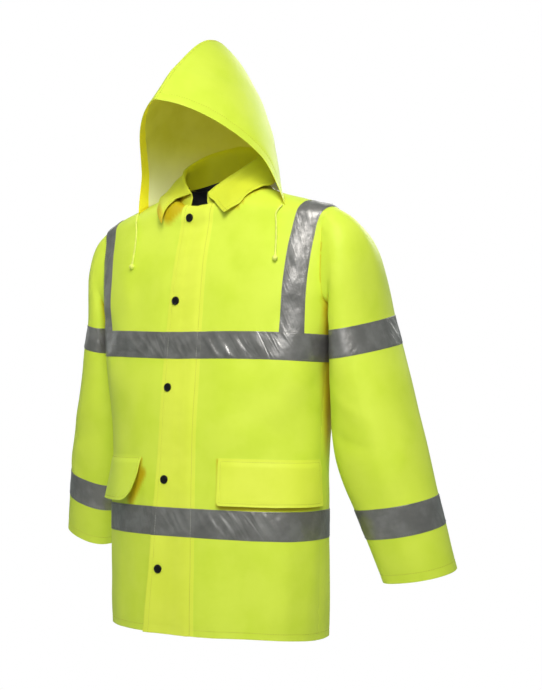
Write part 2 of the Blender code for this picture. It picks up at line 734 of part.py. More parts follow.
def collar_column(turn):
    """The collar's path at one place round the neck: up the stand, over the fold and down the leaf."""
    row = spline(COLLAR, 0, turn)
    seam, fold, edge = neck_seam(turn), row[1:4], row[4:7]
    away = unit(np.array([edge[0] - seam[0] * 0.6, edge[1] - seam[1] * 0.6, 0]))
    inside, outside = fold - away * COLLAR_ROLL, fold + away * COLLAR_ROLL
    crown = fold + np.array([0, 0, COLLAR_ROLL * 0.9])
    belly = away * 2.5
    return [
        seam + unit(inside - seam) * 3.0,
        seam + (inside - seam) * 0.5 - away * 1.0,
        inside - np.array([0, 0, 2.5]),
        crown - away * COLLAR_ROLL * 0.55,
        crown + away * COLLAR_ROLL * 0.55,
        outside - np.array([0, 0, 2.5]),
        outside + (edge - outside) * 0.35 + belly * 0.7,
        outside + (edge - outside) * 0.7 + belly * 0.8,
        edge,
    ]


def add_collar(tree):
    front_turn = COLLAR[0][0]
    turns = np.linspace(front_turn, 180, 17)
    left = np.array([collar_column(turn) for turn in turns])
    columns = np.concatenate([left, left[-2::-1] * np.array([-1, 1, 1])])
    for column in columns:
        for point in column[COLLAR_LEAF_START:]:
            point[2] = max(point[2], resting(tree, point[0], point[1])[2] + COLLAR_PLY * 3.4)
    points = columns.transpose(1, 0, 2)
    half = COLLAR_PLY / 2
    wall("collar", Cloth(points), -half, half, shell_cloth())


# ---- Hood ----


def bezier(p0, p1, p2, p3, t):
    return (1 - t) ** 3 * p0 + 3 * (1 - t) ** 2 * t * p1 + 3 * (1 - t) * t**2 * p2 + t**3 * p3


def hood_points(tree, side):
    """Rows from the opening to the nape and columns from the foot to the centre seam, for one half.
    The right half's points are its mirror image."""
    flip = np.array([side, 1, 1])
    rows = []
    for i in range(HOOD_ROWS):
        share = i / (HOOD_ROWS - 1)
        row = spline(HOOD, 0, share)
        foot = resting(tree, side * row[1], row[2]) * flip
        low, high = row[3:6], row[6:9]
        top = np.array([GAP / 2, row[9], row[10]])
        rows.append([bezier(foot, low, high, top, j / (HOOD_STEPS - 1)) for j in range(HOOD_STEPS)])
    points = np.array(rows)
    last = np.array([resting(tree, side * max(p[0], GAP / 2), p[1]) * flip for p in points[-1]])
    shift = last - points[-1]
    for i in range(HOOD_ROWS):
        points[i] += shift * smooth((i / (HOOD_ROWS - 1) - 0.55) / 0.45)
    return points


def add_hood(tree):
    for name, side in (("hood_left", 1), ("hood_right", -1)):
        points = hood_points(tree, side).transpose(1, 0, 2)[::-1]
        wall(name, Cloth(points if side == 1 else mirrored(points)), 0, CLOTH, shell_cloth())


# ---- Cords ----


def add_cord(name, route):
    """A round cord along a smooth curve through its route, ending in a thicker moulded stop."""
    route = np.array(route, float)
    keys = np.concatenate([[0], np.cumsum(np.linalg.norm(np.diff(route, axis=0), axis=1))])
    table = np.column_stack([keys, route])
    length = keys[-1]
    count = int(length / (CORD_RADIUS * 2 * 2.2))
    curve = bpy.data.curves.new(name, "CURVE")
    curve.dimensions = "3D"
    curve.bevel_depth = CORD_RADIUS * MM
    curve.bevel_resolution = 2
    curve.use_fill_caps = True
    path = curve.splines.new("POLY")
    path.points.add(count)
    for k in range(count + 1):
        at = length * k / count
        path.points[k].co = (*(spline(table, 0, at)[1:] * MM), 1)
        stop = smooth((at - length + CORD_STOP_LENGTH) / 2.5)
        path.points[k].radius = 1 + stop * (CORD_STOP_RADIUS / CORD_RADIUS - 1)
    made = bpy.data.objects.new(name, curve)
    curve.materials.append(material("cord", (0.8, 0.9, 0.35), 0.6))
    bpy.context.scene.collection.objects.link(made)


def main():
    for old in list(bpy.data.objects):
        bpy.data.objects.remove(old)
    front_left, front_right, back = body_cloth()
    add_panels(front_left, front_right, back)
    add_neck_lining(back)
    add_placket(front_left, front_right)
    add_pocket_flaps(front_left, front_right)
    add_body_tapes(front_left, front_right, back)
    add_sleeves(front_left, front_right, back)
    tree = panel_tree(front_left, front_right, back)
    add_collar(tree)
    add_hood(tree)
    for name, route in CORDS.items():
        add_cord(name, [hanging(tree, x, z) for x, z in route])


main()
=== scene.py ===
"""The looks of the hi-vis work jacket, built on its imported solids.

Millimetres in the tables and in the cloth's points, metres in the objects. The front faces -Y and the
wearer's left side is +X. The cloth's surfaces are those of the solids, cut finer and creased.
"""

import json
import math

import bpy
import numpy as np
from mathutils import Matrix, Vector, noise
from mathutils.bvhtree import BVHTree

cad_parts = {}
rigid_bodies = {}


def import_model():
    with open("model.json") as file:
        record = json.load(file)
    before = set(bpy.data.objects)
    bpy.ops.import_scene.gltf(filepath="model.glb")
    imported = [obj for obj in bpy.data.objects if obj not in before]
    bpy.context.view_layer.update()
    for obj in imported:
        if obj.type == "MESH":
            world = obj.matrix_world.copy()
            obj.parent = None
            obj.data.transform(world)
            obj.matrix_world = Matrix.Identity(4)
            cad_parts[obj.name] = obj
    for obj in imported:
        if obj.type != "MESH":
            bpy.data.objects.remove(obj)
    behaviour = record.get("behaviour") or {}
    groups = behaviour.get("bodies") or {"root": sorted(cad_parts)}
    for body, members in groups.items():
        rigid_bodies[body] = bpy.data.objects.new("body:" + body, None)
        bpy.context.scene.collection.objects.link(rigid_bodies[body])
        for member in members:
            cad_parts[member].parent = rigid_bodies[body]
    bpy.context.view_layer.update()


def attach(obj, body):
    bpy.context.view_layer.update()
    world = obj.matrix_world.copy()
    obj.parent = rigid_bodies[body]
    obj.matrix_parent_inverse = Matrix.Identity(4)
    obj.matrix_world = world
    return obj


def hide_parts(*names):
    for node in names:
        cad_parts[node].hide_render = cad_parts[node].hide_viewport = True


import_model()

MM = 0.001
TINY = 1e-9  # keeps a direction from having no length
IMAGE_WIDTH, IMAGE_HEIGHT = 542, 690

# Wall thicknesses and the gap that is left between pieces that are sewn or pressed together.
CLOTH = 1.2
COLLAR_PLY = 1.6
PLACKET_PLY = 1.6
FLAP_PLY = 2.0
LINING_PLY = 1.0
LINING_OFF = 0.6  # from the back panel to the lining
GAP = 0.3

# The body's level sections, from the shoulders to the hem. side_z is the height at the side, and front_z and
# back_z are those at the centre front and back. half_w is half the width, and the _y columns say how far
# forward the side, the centre front and the centre back lie. square is 2 for an ellipse and more for a
# boxier section.
SECTIONS = (
    # side_z, half_w, side_y, front_y, front_z, back_y, back_z, square
    (-62, 247, -6, -80, -52, 94, -16, 2.6),
    (-110, 246, -3, -95, -102, 110, -84, 2.7),
    (-170, 241, -2, -106, -164, 116, -160, 2.8),
    (-232, 232, -3, -112, -226, 118, -231, 2.9),
    (-291, 223, -5, -117, -285, 118, -291, 3.0),
    (-400, 214, -8, -126, -396, 120, -402, 2.4),
    (-553, 209, -6, -133, -549, 129, -557, 2.25),
    (-660, 207, -5, -138, -654, 134, -667, 2.25),
    (-762, 204, -4, -143, -755, 138, -775, 2.25),
)
SIDE_Z, HALF_W, SIDE_Y, FRONT_Y, FRONT_Z, BACK_Y, BACK_Z, SQUARE = range(8)

# The wearer leans a little: on the right side the shoulder sits lower and the chest's cloth higher.
# Each row is a height, how far the right side is moved up there, and how far up and down that reaches.
LEAN = (
    (-40, -8, 70),
    (-262, 15, 110),
)

# The neck seam is an ellipse that rises from the throat to the nape.
NECK_HALF_W, NECK_SIDE_Y, NECK_SIDE_Z = 84, 5, 22
THROAT_Y, THROAT_Z = -70, -21
NAPE_Y, NAPE_Z = 72, 48

# The shoulder seam, from the neck to the tip where the sleeve starts: x, y, z.
SHOULDER_SEAM = (
    (NECK_HALF_W, NECK_SIDE_Y, NECK_SIDE_Z),
    (123, 1, 6),
    (201, -11, -18),
    (240, -8, -31),
    (249, -8, -37),
)
NECK_TURN = 90  # the top edge counts degrees round the neck, then millimetres along the shoulder

# Heights (at the side) of the rows of cloth that edges and tapes follow.
ARM_PIT_Z = -200
CHEST_TAPE_TOP, CHEST_TAPE_END = -248, -294
FLAP_TOP, FLAP_END = -459, -538
HEM_TAPE_TOP, HEM_TAPE_END = -546, -595
HEM_Z = -762
ARC_ROWS = (0, 30, 60)  # degrees of the round over the shoulder, above the first section
PANEL_ROWS = (
    -62, -82, -102, -124, -146, -166, -184, ARM_PIT_Z, -222, CHEST_TAPE_TOP, CHEST_TAPE_END,
    -335, -376, -418, FLAP_TOP, -499, FLAP_END, HEM_TAPE_TOP, HEM_TAPE_END, -638, -682, -725, HEM_Z,
)
ARMHOLE_ROWS = len(ARC_ROWS) + PANEL_ROWS.index(ARM_PIT_Z) + 1

# How far the armhole's edge stays from the side, in degrees of turn, and how square its lower end is.
ARMHOLE_FRONT, ARMHOLE_BACK, ARMHOLE_SQUARE = 21, 25, 3.0

# Lines that run from the top edge to the hem: for each height, how far from the centre they lie. They are the
# placket's stitched edge, the pocket's front edge (it starts at the neck's side), the two edges of the
# shoulder tape, and the placket's free edge, which lies on the wearer's right.
# The rest of a panel lies between the tape and its armhole or side seam.
LINE_COLUMNS = ("side_z", "placket", "pocket", "tape_in", "tape_out", "free_edge")
FRONT_LINES = (
    (-62, 39, 85, 193, 228, 28),
    (-110, 40, 84, 188, 223, 27),
    (-170, 40, 83, 184, 218, 30),
    (-291, 39, 82, 179, 212, 36),
    (-460, 37, 82, 172, 200, 41),
    (HEM_Z, 43, 82, 168, 192, 46),
)
BACK_LINES = (
    (-62, 39, 85, 183, 218, 39),
    (-110, 39, 84, 177, 213, 39),
    (-170, 39, 83, 173, 211, 39),
    (-291, 39, 82, 170, 210, 39),
    (-460, 40, 82, 166, 202, 40),
    (HEM_Z, 41, 82, 162, 196, 41),
)
PLACKET_AT, FREE_EDGE_AT = LINE_COLUMNS.index("placket"), LINE_COLUMNS.index("free_edge")
SEAM_TAPE_IN, SEAM_TAPE_OUT = 201, 241  # where the shoulder tape crosses the shoulder seam
LINE_COLUMN_COUNTS = (2, 2, 4, 2, 2)  # columns of cloth between one line and the next

# Long soft folds: where each starts and ends (turn in degrees and height), its half width in degrees and
# its height out of the cloth, negative for a hollow. side is 1 for the wearer's left and -1 for the right.
FOLDS = (
    # half, side, turn, z, turn, z, half width, height
    ("front", 1, 25, -300, 52, -190, 10, -4),
    ("front", 1, 34, -420, 70, -310, 12, 3),
    ("front", 1, 62, -560, 58, -780, 9, 4),
    ("front", 1, 30, -600, 34, -790, 10, -3),
    ("front", -1, 30, -290, 56, -200, 10, -4),
    ("front", -1, 60, -520, 66, -780, 9, 4),
    ("back", 1, 40, -330, 66, -240, 10, 4),
    ("back", 1, 20, -420, 26, -780, 9, 5),
    ("back", -1, 36, -320, 62, -230, 10, 4),
    ("back", -1, 24, -440, 18, -780, 9, 5),
    ("back", 1, 62, -470, 58, -780, 8, -4),
    ("back", -1, 64, -500, 60, -780, 8, -4),
)
FOLD_FADE = 2.5  # a fold fades in and out over 1 / 2.5 of its length

# Sleeve stations down the arm: the middle, and the half widths outwards, inwards, forwards and to the rear.
# The sleeve is boxier on the inside, where it hangs against the body.
SLEEVE = (
    # x, y, z, out, inner, front, rear
    (261, 50, -214, 44, 25, 95, 86),
    (268, 54, -257, 48, 34, 99, 87),
    (277, 57, -305, 53, 52, 95, 86),
    (287, 59, -355, 57, 66, 90, 84),
    (298, 61, -410, 61, 78, 84, 81),
    (310, 64, -465, 64, 79, 79, 78),
    (320, 67, -515, 66, 66, 73, 76),
    (331, 73, -560, 65, 61, 69, 74),
    (350, 84, -640, 65, 52, 61, 69),
)
SLEEVE_AT = 2  # the column that is looked up, z
INNER_SQUARE = 0.68
# Each sleeve's length as a share of its stations' heights, how far its rings lean with the arm, and how far
# they dip to the front at the top.
SLEEVE_SIDES = {"left": (1.022, 0.6, 0.12), "right": (0.972, 1.3, 0)}
SLEEVE_DIP_FADES = 600  # over this length down the arm
UPPER_TAPE_TOP, UPPER_TAPE_END = -219, -267
LOWER_TAPE_TOP, LOWER_TAPE_END = -518, -566
SLEEVE_ROWS = (
    UPPER_TAPE_TOP, UPPER_TAPE_END, -310, -352, -394, -436, -478,
    LOWER_TAPE_TOP, LOWER_TAPE_END, -592, -617, -640,
)
CAP_ROWS = (0, 0.12, 0.28, 0.46, 0.64, 0.82)  # shares of the way from the armhole to the first station

# How the sleeve leaves the armhole, at its top, at the pit and more to the rear: x, y, z.
CAP_LEAVE_TOP = np.array([0.85, 0.1, -0.45])
CAP_LEAVE_PIT = np.array([1.0, 0.1, -0.3])
CAP_LEAVE_REAR = np.array([0.1, 0.3, 0.1])
CAP_FULLNESS = 1.1

# Snap fasteners down the placket: x and z.
SNAPS = ((-9, -40), (-17, -187), (-24, -337), (-24, -495), (-31, -647))
SNAP_RADIUS, SNAP_HEIGHT = 7.5, 3

# How far the lines of stitches run from their edges, and how wide the turned edges are.
HEM_STITCH, CUFF_STITCH, TAPE_STITCH, PLACKET_STITCH, FLAP_STITCH, COLLAR_STITCH = 11, 15, 2.4, 7, 5, 6
HOOD_SEAM_STITCH = 4
HEM_FACING, CUFF_FACING, HOOD_FACING = 32, 28, 18

# The collar from its front end to the nape: degrees round the neck seam, the fold and the leaf's edge.
COLLAR = (
    # turn, the fold's x, y and z, the edge's x, y and z
    (13, 19, -67, 2, 64, -84, -38),
    (35, 44, -50, 25, 88, -70, -18),
    (62, 66, -24, 48, 106, -34, 8),
    (90, 74, 6, 68, 108, 8, 26),
    (130, 56, 44, 92, 78, 54, 50),
    (180, 0, 60, 104, 0, 76, 64),
)
COLLAR_ROLL = 3.2  # half the width of the roll along the fold
STAND_START, STAND_BOW, ROLL_FOOT, LEAF_BELLY = 3.0, 1.0, 2.5, 2.5  # above the seam, inwards, down, outwards
COLLAR_CROWN, COLLAR_LEAF_START = 3, 6  # points of the path: the first of the roll and the first of the leaf
LINING_FRONT_Y = -25  # the lining inside the collar ends here

# Arches of the hood, from its opening to its foot at the nape. share is how far back the arch lies. Each is
# a Bezier from its foot to the centre seam: the foot's x and y, two handles and the top's y and z.
HOOD = (
    # share, foot x and y, low handle x, y and z, high handle x, y and z, top y and z
    (0.00, 151, -28, 139, -48, 62, 92, -146, 130, -198, 147),
    (0.22, 136, -8, 131, -26, 90, 80, -100, 186, -131, 221),
    (0.45, 119, 12, 116, 8, 108, 64, -24, 236, -42, 283),
    (0.66, 102, 34, 98, 38, 110, 48, 40, 224, 34, 272),
    (0.85, 80, 56, 80, 66, 80, 40, 86, 150, 84, 186),
    (1.00, 60, 68, 46, 78, 40, 24, 85, 44, 86, 46),
)
HOOD_ROWS, HOOD_STEPS = 14, 11
HOOD_REST = 2.8  # the hood's edge stands this far above the shoulders' cloth
HOOD_NAPE_FROM = 0.55  # of the way back: from here on the arches follow the last one's shift to the cloth
ABOVE_ALL, BEFORE_ALL = 150, -400  # a height and a place at the front, clear of all the cloth

CORD_OFF = 4.2  # from the chest's cloth to the middle of a cord
# Each cord end runs from the hood's front corner down the chest, and ends in a moulded stop: x and z.
CORDS = {
    "cord_left": ((160, -27), (163, -38), (166, -60), (170, -88), (172, -125)),
    "cord_right": ((-139, -25), (-136, -38), (-130, -60), (-126, -90), (-127, -126)),
}


def spline(table, key, at):
    """The table's rows, as smooth functions of one column, at a value of that column."""
    rows = np.array(table, float)
    keys = rows[:, key]
    if keys[0] > keys[-1]:
        rows, keys = rows[::-1], keys[::-1]
    at = min(max(at, keys[0]), keys[-1])
    i = min(max(int(np.searchsorted(keys, at)) - 1, 0), len(keys) - 2)

    def slope(k):
        low, high = max(k - 1, 0), min(k + 1, len(keys) - 1)
        return (rows[high] - rows[low]) / (keys[high] - keys[low])

    width = keys[i + 1] - keys[i]
    return hermite((at - keys[i]) / width, rows[i], rows[i + 1], width * slope(i), width * slope(i + 1))


def hermite(t, start, end, leave, arrive):
    """A point of a smooth curve from start to end, which leaves and arrives in two given ways."""
    return (
        (2 * t**3 - 3 * t**2 + 1) * start
        + (t**3 - 2 * t**2 + t) * leave
        + (3 * t**2 - 2 * t**3) * end
        + (t**3 - t**2) * arrive
    )


def eased(share):
    """Shares cut to 0 to 1, with soft ends."""
    share = np.clip(share, 0, 1)
    return share * share * (3 - 2 * share)


def unit(v):
    """Vectors with a length of 1."""
    return v / np.linalg.norm(v, axis=-1, keepdims=True)


# ---- The cloth's surfaces, as in the solids ----


def fold_height(half, side, turn, z):
    """How far the folds lift the cloth at this turn and height."""
    total = 0.0
    for of_half, of_side, turn_0, z_0, turn_1, z_1, half_width, height in FOLDS:
        if (of_half, of_side) == (half, side):
            down = (z - z_0) / (z_1 - z_0)
            middle = turn_0 + (turn_1 - turn_0) * min(max(down, 0), 1)
            fade = eased(down * FOLD_FADE + 0.6) * eased((1.15 - down) * FOLD_FADE)
            total += height * fade * math.exp(-(((turn - middle) / half_width) ** 2))
    return total


def lean(side, side_z, share):
    """How far the wearer's lean moves the right side's cloth up, for its share of the way to the side."""
    if side == 1:
        return 0
    return share * sum(up * math.exp(-(((side_z - z) / reach) ** 2)) for z, up, reach in LEAN)


def section_point(half, side, side_z, turn):
    """A point of the body's surface: turn is 0 at the centre front or back and 90 at the side."""
    row = spline(SECTIONS, SIDE_Z, side_z)
    centre_y, centre_z = (row[FRONT_Y], row[FRONT_Z]) if half == "front" else (row[BACK_Y], row[BACK_Z])
    s, c = math.sin(math.radians(turn)), max(math.cos(math.radians(turn)), 0)
    power = 2 / row[SQUARE]
    x = row[HALF_W] * s**power
    y = row[SIDE_Y] + (centre_y - row[SIDE_Y]) * c**power
    z = row[SIDE_Z] + (centre_z - row[SIDE_Z]) * c * c + lean(side, side_z, s)
    depth = abs(centre_y - row[SIDE_Y])
    out = unit(np.array([x / row[HALF_W] ** 2, (y - row[SIDE_Y]) / depth**2, 0]))
    return np.array([x, y, z]) + out * fold_height(half, side, turn, z)


def turn_at(side_z, x):
    """The turn at which a section is this far from the centre."""
    row = spline(SECTIONS, SIDE_Z, side_z)
    return math.degrees(math.asin(min(x / row[HALF_W], 1) ** (row[SQUARE] / 2)))


def edge_turn(half, side_z):
    """The turn of a panel's outer edge: the armhole above the arm pit, and the side seam below it."""
    if side_z <= ARM_PIT_Z:
        return 90
    spread = ARMHOLE_FRONT if half == "front" else ARMHOLE_BACK
    top = SHOULDER_SEAM[-1][2]
    down = (top - side_z) / (top - ARM_PIT_Z)
    return 90 - spread * (1 - down**ARMHOLE_SQUARE) ** (1 / ARMHOLE_SQUARE)


def top_point(half, side, way):
    """A point of a panel's top edge: along the neck seam, then along the shoulder seam."""
    if way > NECK_TURN:
        x, y, z = spline(SHOULDER_SEAM, 0, NECK_HALF_W + way - NECK_TURN)
        share = (x - NECK_HALF_W) / (SHOULDER_SEAM[-1][0] - NECK_HALF_W)
        return np.array([x, y, z + lean(side, SHOULDER_SEAM[-1][2], share)])
    s, c = math.sin(math.radians(way)), math.cos(math.radians(way))
    centre_y, centre_z = (THROAT_Y, THROAT_Z) if half == "front" else (NAPE_Y, NAPE_Z)
    y = NECK_SIDE_Y + (centre_y - NECK_SIDE_Y) * c
    return np.array([NECK_HALF_W * s, y, NECK_SIDE_Z + (centre_z - NECK_SIDE_Z) * c * c])


def spread_between(stops):
    """Values through the lines' own values, with each gap cut into that gap's count of columns."""
    values = [stops[0]]
    for start, end, count in zip(stops, stops[1:], LINE_COLUMN_COUNTS):
        values += [start + (end - start) * (k + 1) / count for k in range(count)]
    return values


def half_panel(half, side):
    """Rows and columns of points from the centre line to the edge, as seen for the wearer's left."""
    lines = FRONT_LINES if half == "front" else BACK_LINES
    placket = lines[0][PLACKET_AT if side == 1 else FREE_EDGE_AT]
    top_stops = [
        0,
        math.degrees(math.asin(placket / NECK_HALF_W)),
        NECK_TURN,
        NECK_TURN + SEAM_TAPE_IN - NECK_HALF_W,
        NECK_TURN + SEAM_TAPE_OUT - NECK_HALF_W,
        NECK_TURN + SHOULDER_SEAM[-1][0] - NECK_HALF_W,
    ]
    top = np.array([top_point(half, side, way) for way in spread_between(top_stops)])
    rows = []
    for side_z in PANEL_ROWS:
        across = spline(lines, 0, side_z)
        if side == -1:
            across[PLACKET_AT] = across[FREE_EDGE_AT]
        stops = [0] + [turn_at(side_z, x) for x in across[1:FREE_EDGE_AT]] + [edge_turn(half, side_z)]
        rows.append([section_point(half, side, side_z, turn) for turn in spread_between(stops)])
    rows = np.array(rows)
    arcs = []
    for degrees in ARC_ROWS:
        s, c = math.sin(math.radians(degrees)), math.cos(math.radians(degrees))
        share = np.array([degrees / 90, s, 1 - c])
        arcs.append(top + (rows[0] - top) * share)
    return np.concatenate([np.array(arcs), rows])


FLIP = np.array([-1, 1, 1])


def mirrored(points):
    """The same cloth on the wearer's right: columns still run the same way round the body."""
    return points[:, ::-1] * FLIP


def row_of(side_z):
    """The row of a panel's coarse grid that has this height at the side."""
    return len(ARC_ROWS) + PANEL_ROWS.index(side_z)


def column_of(line):
    """The column of a panel's coarse grid that follows this line, counted from the centre."""
    return sum(LINE_COLUMN_COUNTS[: LINE_COLUMNS.index(line)])


def body_cloth():
    """The three panels' coarse points: front left, front right and back."""
    back_left, back_right = half_panel("back", 1), half_panel("back", -1)
    back = np.concatenate([back_left[:, ::-1], back_right[:, 1:] * FLIP], axis=1)
    return half_panel("front", 1), mirrored(half_panel("front", -1)), back


def armhole(front_edge, back_edge):
    """The armhole's edge as a ring: down the back from the shoulder tip, and up the front."""
    return np.concatenate([back_edge[:ARMHOLE_ROWS], front_edge[ARMHOLE_ROWS - 2 : 0 : -1]])


def sleeve_ring(at, angles, drop, ring_lean, dip):
    """Points round the sleeve: outside, back, inside and front. Also the way up the arm."""
    x, y, z, out_width, inner_width, front_width, rear_width = spline(SLEEVE, SLEEVE_AT, at)
    axis = unit(spline(SLEEVE, SLEEVE_AT, at + 5)[:3] - spline(SLEEVE, SLEEVE_AT, at - 5)[:3])
    dip *= 1 - (SLEEVE[0][SLEEVE_AT] - at) / SLEEVE_DIP_FADES
    up = unit(axis * ring_lean + np.array([0, 0, 1]) * (1 - ring_lean) - np.array([0, dip, 0]))
    out = unit(np.array([1, 0, 0]) - up * up[0])
    rear = np.cross(up, out)
    c, s = np.cos(angles), np.sin(angles)
    power = np.where(c < -TINY, INNER_SQUARE, 1)
    across = np.where(c > 0, out_width, inner_width) * np.sign(c) * np.abs(c) ** power
    along = np.where(s > 0, rear_width, front_width) * np.sign(s) * np.abs(s) ** power
    return np.array([x, y, z * drop]) + out * across + rear * along, axis


def sleeve_points(start, drop, ring_lean, dip):
    """Rows of points from the armhole to the cuff, for a sleeve on the wearer's left."""
    angles = np.radians(np.arange(len(start)) * 360 / len(start))[:, None]
    first, axis = sleeve_ring(SLEEVE_ROWS[0], angles, drop, ring_lean, dip)
    reach = np.linalg.norm(first - start, axis=1, keepdims=True)
    inside = (1 - np.cos(angles)) / 2
    leave = unit(CAP_LEAVE_TOP * (1 - inside) + CAP_LEAVE_PIT * inside + CAP_LEAVE_REAR * np.sin(angles))
    bulge = reach * CAP_FULLNESS
    rows = [hermite(t, start, first, bulge * leave, -bulge * axis) for t in CAP_ROWS]
    rows += [sleeve_ring(at, angles, drop, ring_lean, dip)[0] for at in SLEEVE_ROWS]
    return np.array(rows)


def neck_seam(turn):
    """A point of the neck seam, from the throat at 0 to the nape at 180."""
    return top_point("front", 1, turn) if turn <= 90 else top_point("back", 1, 180 - turn)


def collar_column(turn):
    """The collar's path at one place round the neck: up the stand, over the fold and down the leaf."""
    row = spline(COLLAR, 0, turn)
    seam, fold, edge = neck_seam(turn), row[1:4], row[4:7]
    away = unit(np.array([edge[0] - seam[0] * 0.6, edge[1] - seam[1] * 0.6, 0]))
    inside, outside = fold - away * COLLAR_ROLL, fold + away * COLLAR_ROLL
    crown = fold + np.array([0, 0, COLLAR_ROLL * 0.9])
    belly, foot = away * LEAF_BELLY, np.array([0, 0, ROLL_FOOT])
    return [
        seam + unit(inside - seam) * STAND_START,
        seam + (inside - seam) * 0.5 - away * STAND_BOW,
        inside - foot,
        crown - away * COLLAR_ROLL * 0.55,
        crown + away * COLLAR_ROLL * 0.55,
        outside - foot,
        outside + (edge - outside) * 0.35 + belly * 0.7,
        outside + (edge - outside) * 0.7 + belly * 0.8,
        edge,
    ]


def bezier(p0, p1, p2, p3, t):
    return (1 - t) ** 3 * p0 + 3 * (1 - t) ** 2 * t * p1 + 3 * (1 - t) * t**2 * p2 + t**3 * p3


def hood_points(tree, side):
    """Rows from the opening to the nape and columns from the foot to the centre seam, for one half.
    The right half's points are its mirror image."""
    flip = np.array([side, 1, 1])
    rows = []
    for i in range(HOOD_ROWS):
        share = i / (HOOD_ROWS - 1)
        row = spline(HOOD, 0, share)
        foot = resting(tree, side * row[1], row[2]) * flip
        low, high = row[3:6], row[6:9]
        top = np.array([GAP / 2, row[9], row[10]])
        rows.append([bezier(foot, low, high, top, j / (HOOD_STEPS - 1)) for j in range(HOOD_STEPS)])
    points = np.array(rows)
    last = np.array([resting(tree, side * max(p[0], GAP / 2), p[1]) * flip for p in points[-1]])
    shift = last - points[-1]
    for i in range(HOOD_ROWS):
        points[i] += shift * eased((i / (HOOD_ROWS - 1) - HOOD_NAPE_FROM) / (1 - HOOD_NAPE_FROM))
    return points


def panel_tree(panels):
    """The outer faces of the panels, to find where a piece rests on them."""
    vertices, faces = [], []
    for points in panels:
        normals = unit(np.cross(np.gradient(points, axis=0), np.gradient(points, axis=1)))
        grid = points + normals * CLOTH
        rows, columns = grid.shape[:2]
        start = len(vertices)
        vertices += [Vector(p) for p in grid.reshape(-1, 3)]
        for i in range(rows - 1):
            for j in range(columns - 1):
                a = start + i * columns + j
                faces.append((a, a + columns, a + columns + 1, a + 1))
    return BVHTree.FromPolygons(vertices, faces)


def resting(tree, x, y):
    """A point just above the shoulders' cloth, or level with their tips over the open neck."""
    hit = tree.ray_cast(Vector((x, y, ABOVE_ALL)), Vector((0, 0, -1)))[0]
    height = hit.z if hit else SHOULDER_SEAM[-1][2]
    return np.array([x, y, height + HOOD_REST])


def hanging(tree, x, z):
    """A point in front of the chest's cloth, where a cord lies on it."""
    hit = tree.ray_cast(Vector((x, BEFORE_ALL, z)), Vector((0, 1, 0)))
    return np.array(hit[0]) + np.array([0, -1, 0]) * CORD_OFF / max(-hit[1].y, 0.5)


# ---- Fine cloth ----

STEP = 6.0  # between the fine grid's points


def cuts(points, axis, ring=False):
    """How many pieces each gap of the coarse grid is cut into along an axis."""
    if ring:
        points = np.concatenate([points, points[:, :1]], axis=1)
    lengths = np.linalg.norm(np.diff(points, axis=axis), axis=-1).mean(axis=1 - axis)
    return np.maximum(1, np.ceil(lengths / STEP)).astype(int)


def finer(points, counts, ring=False):
    """More points between the first axis's own, on smooth curves through them."""
    if ring:
        points = np.concatenate([points[-1:], points, points[:2]])
    chord = np.maximum(np.linalg.norm(np.diff(points, axis=0), axis=-1, keepdims=True), 1e-6)
    slope = np.diff(points, axis=0) / chord
    tangent = np.empty_like(points)
    tangent[1:-1] = (chord[1:] * slope[:-1] + chord[:-1] * slope[1:]) / (chord[1:] + chord[:-1])
    tangent[0] = 1.5 * slope[0] - 0.5 * tangent[1]
    tangent[-1] = 1.5 * slope[-1] - 0.5 * tangent[-2]
    made = []
    for k, count in enumerate(counts, 1 if ring else 0):
        ways = chord[k] * tangent[k], chord[k] * tangent[k + 1]
        made += [hermite(t, points[k], points[k + 1], *ways) for t in np.arange(count) / count]
    if not ring:
        made.append(points[-1])
    return np.array(made)


def distances(points, axis):
    """How far each point lies along an axis of the grid."""
    steps = np.linalg.norm(np.diff(points, axis=axis), axis=-1)
    start = np.zeros_like(np.take(steps, [0], axis))
    return np.concatenate([start, np.cumsum(steps, axis=axis)], axis=axis)


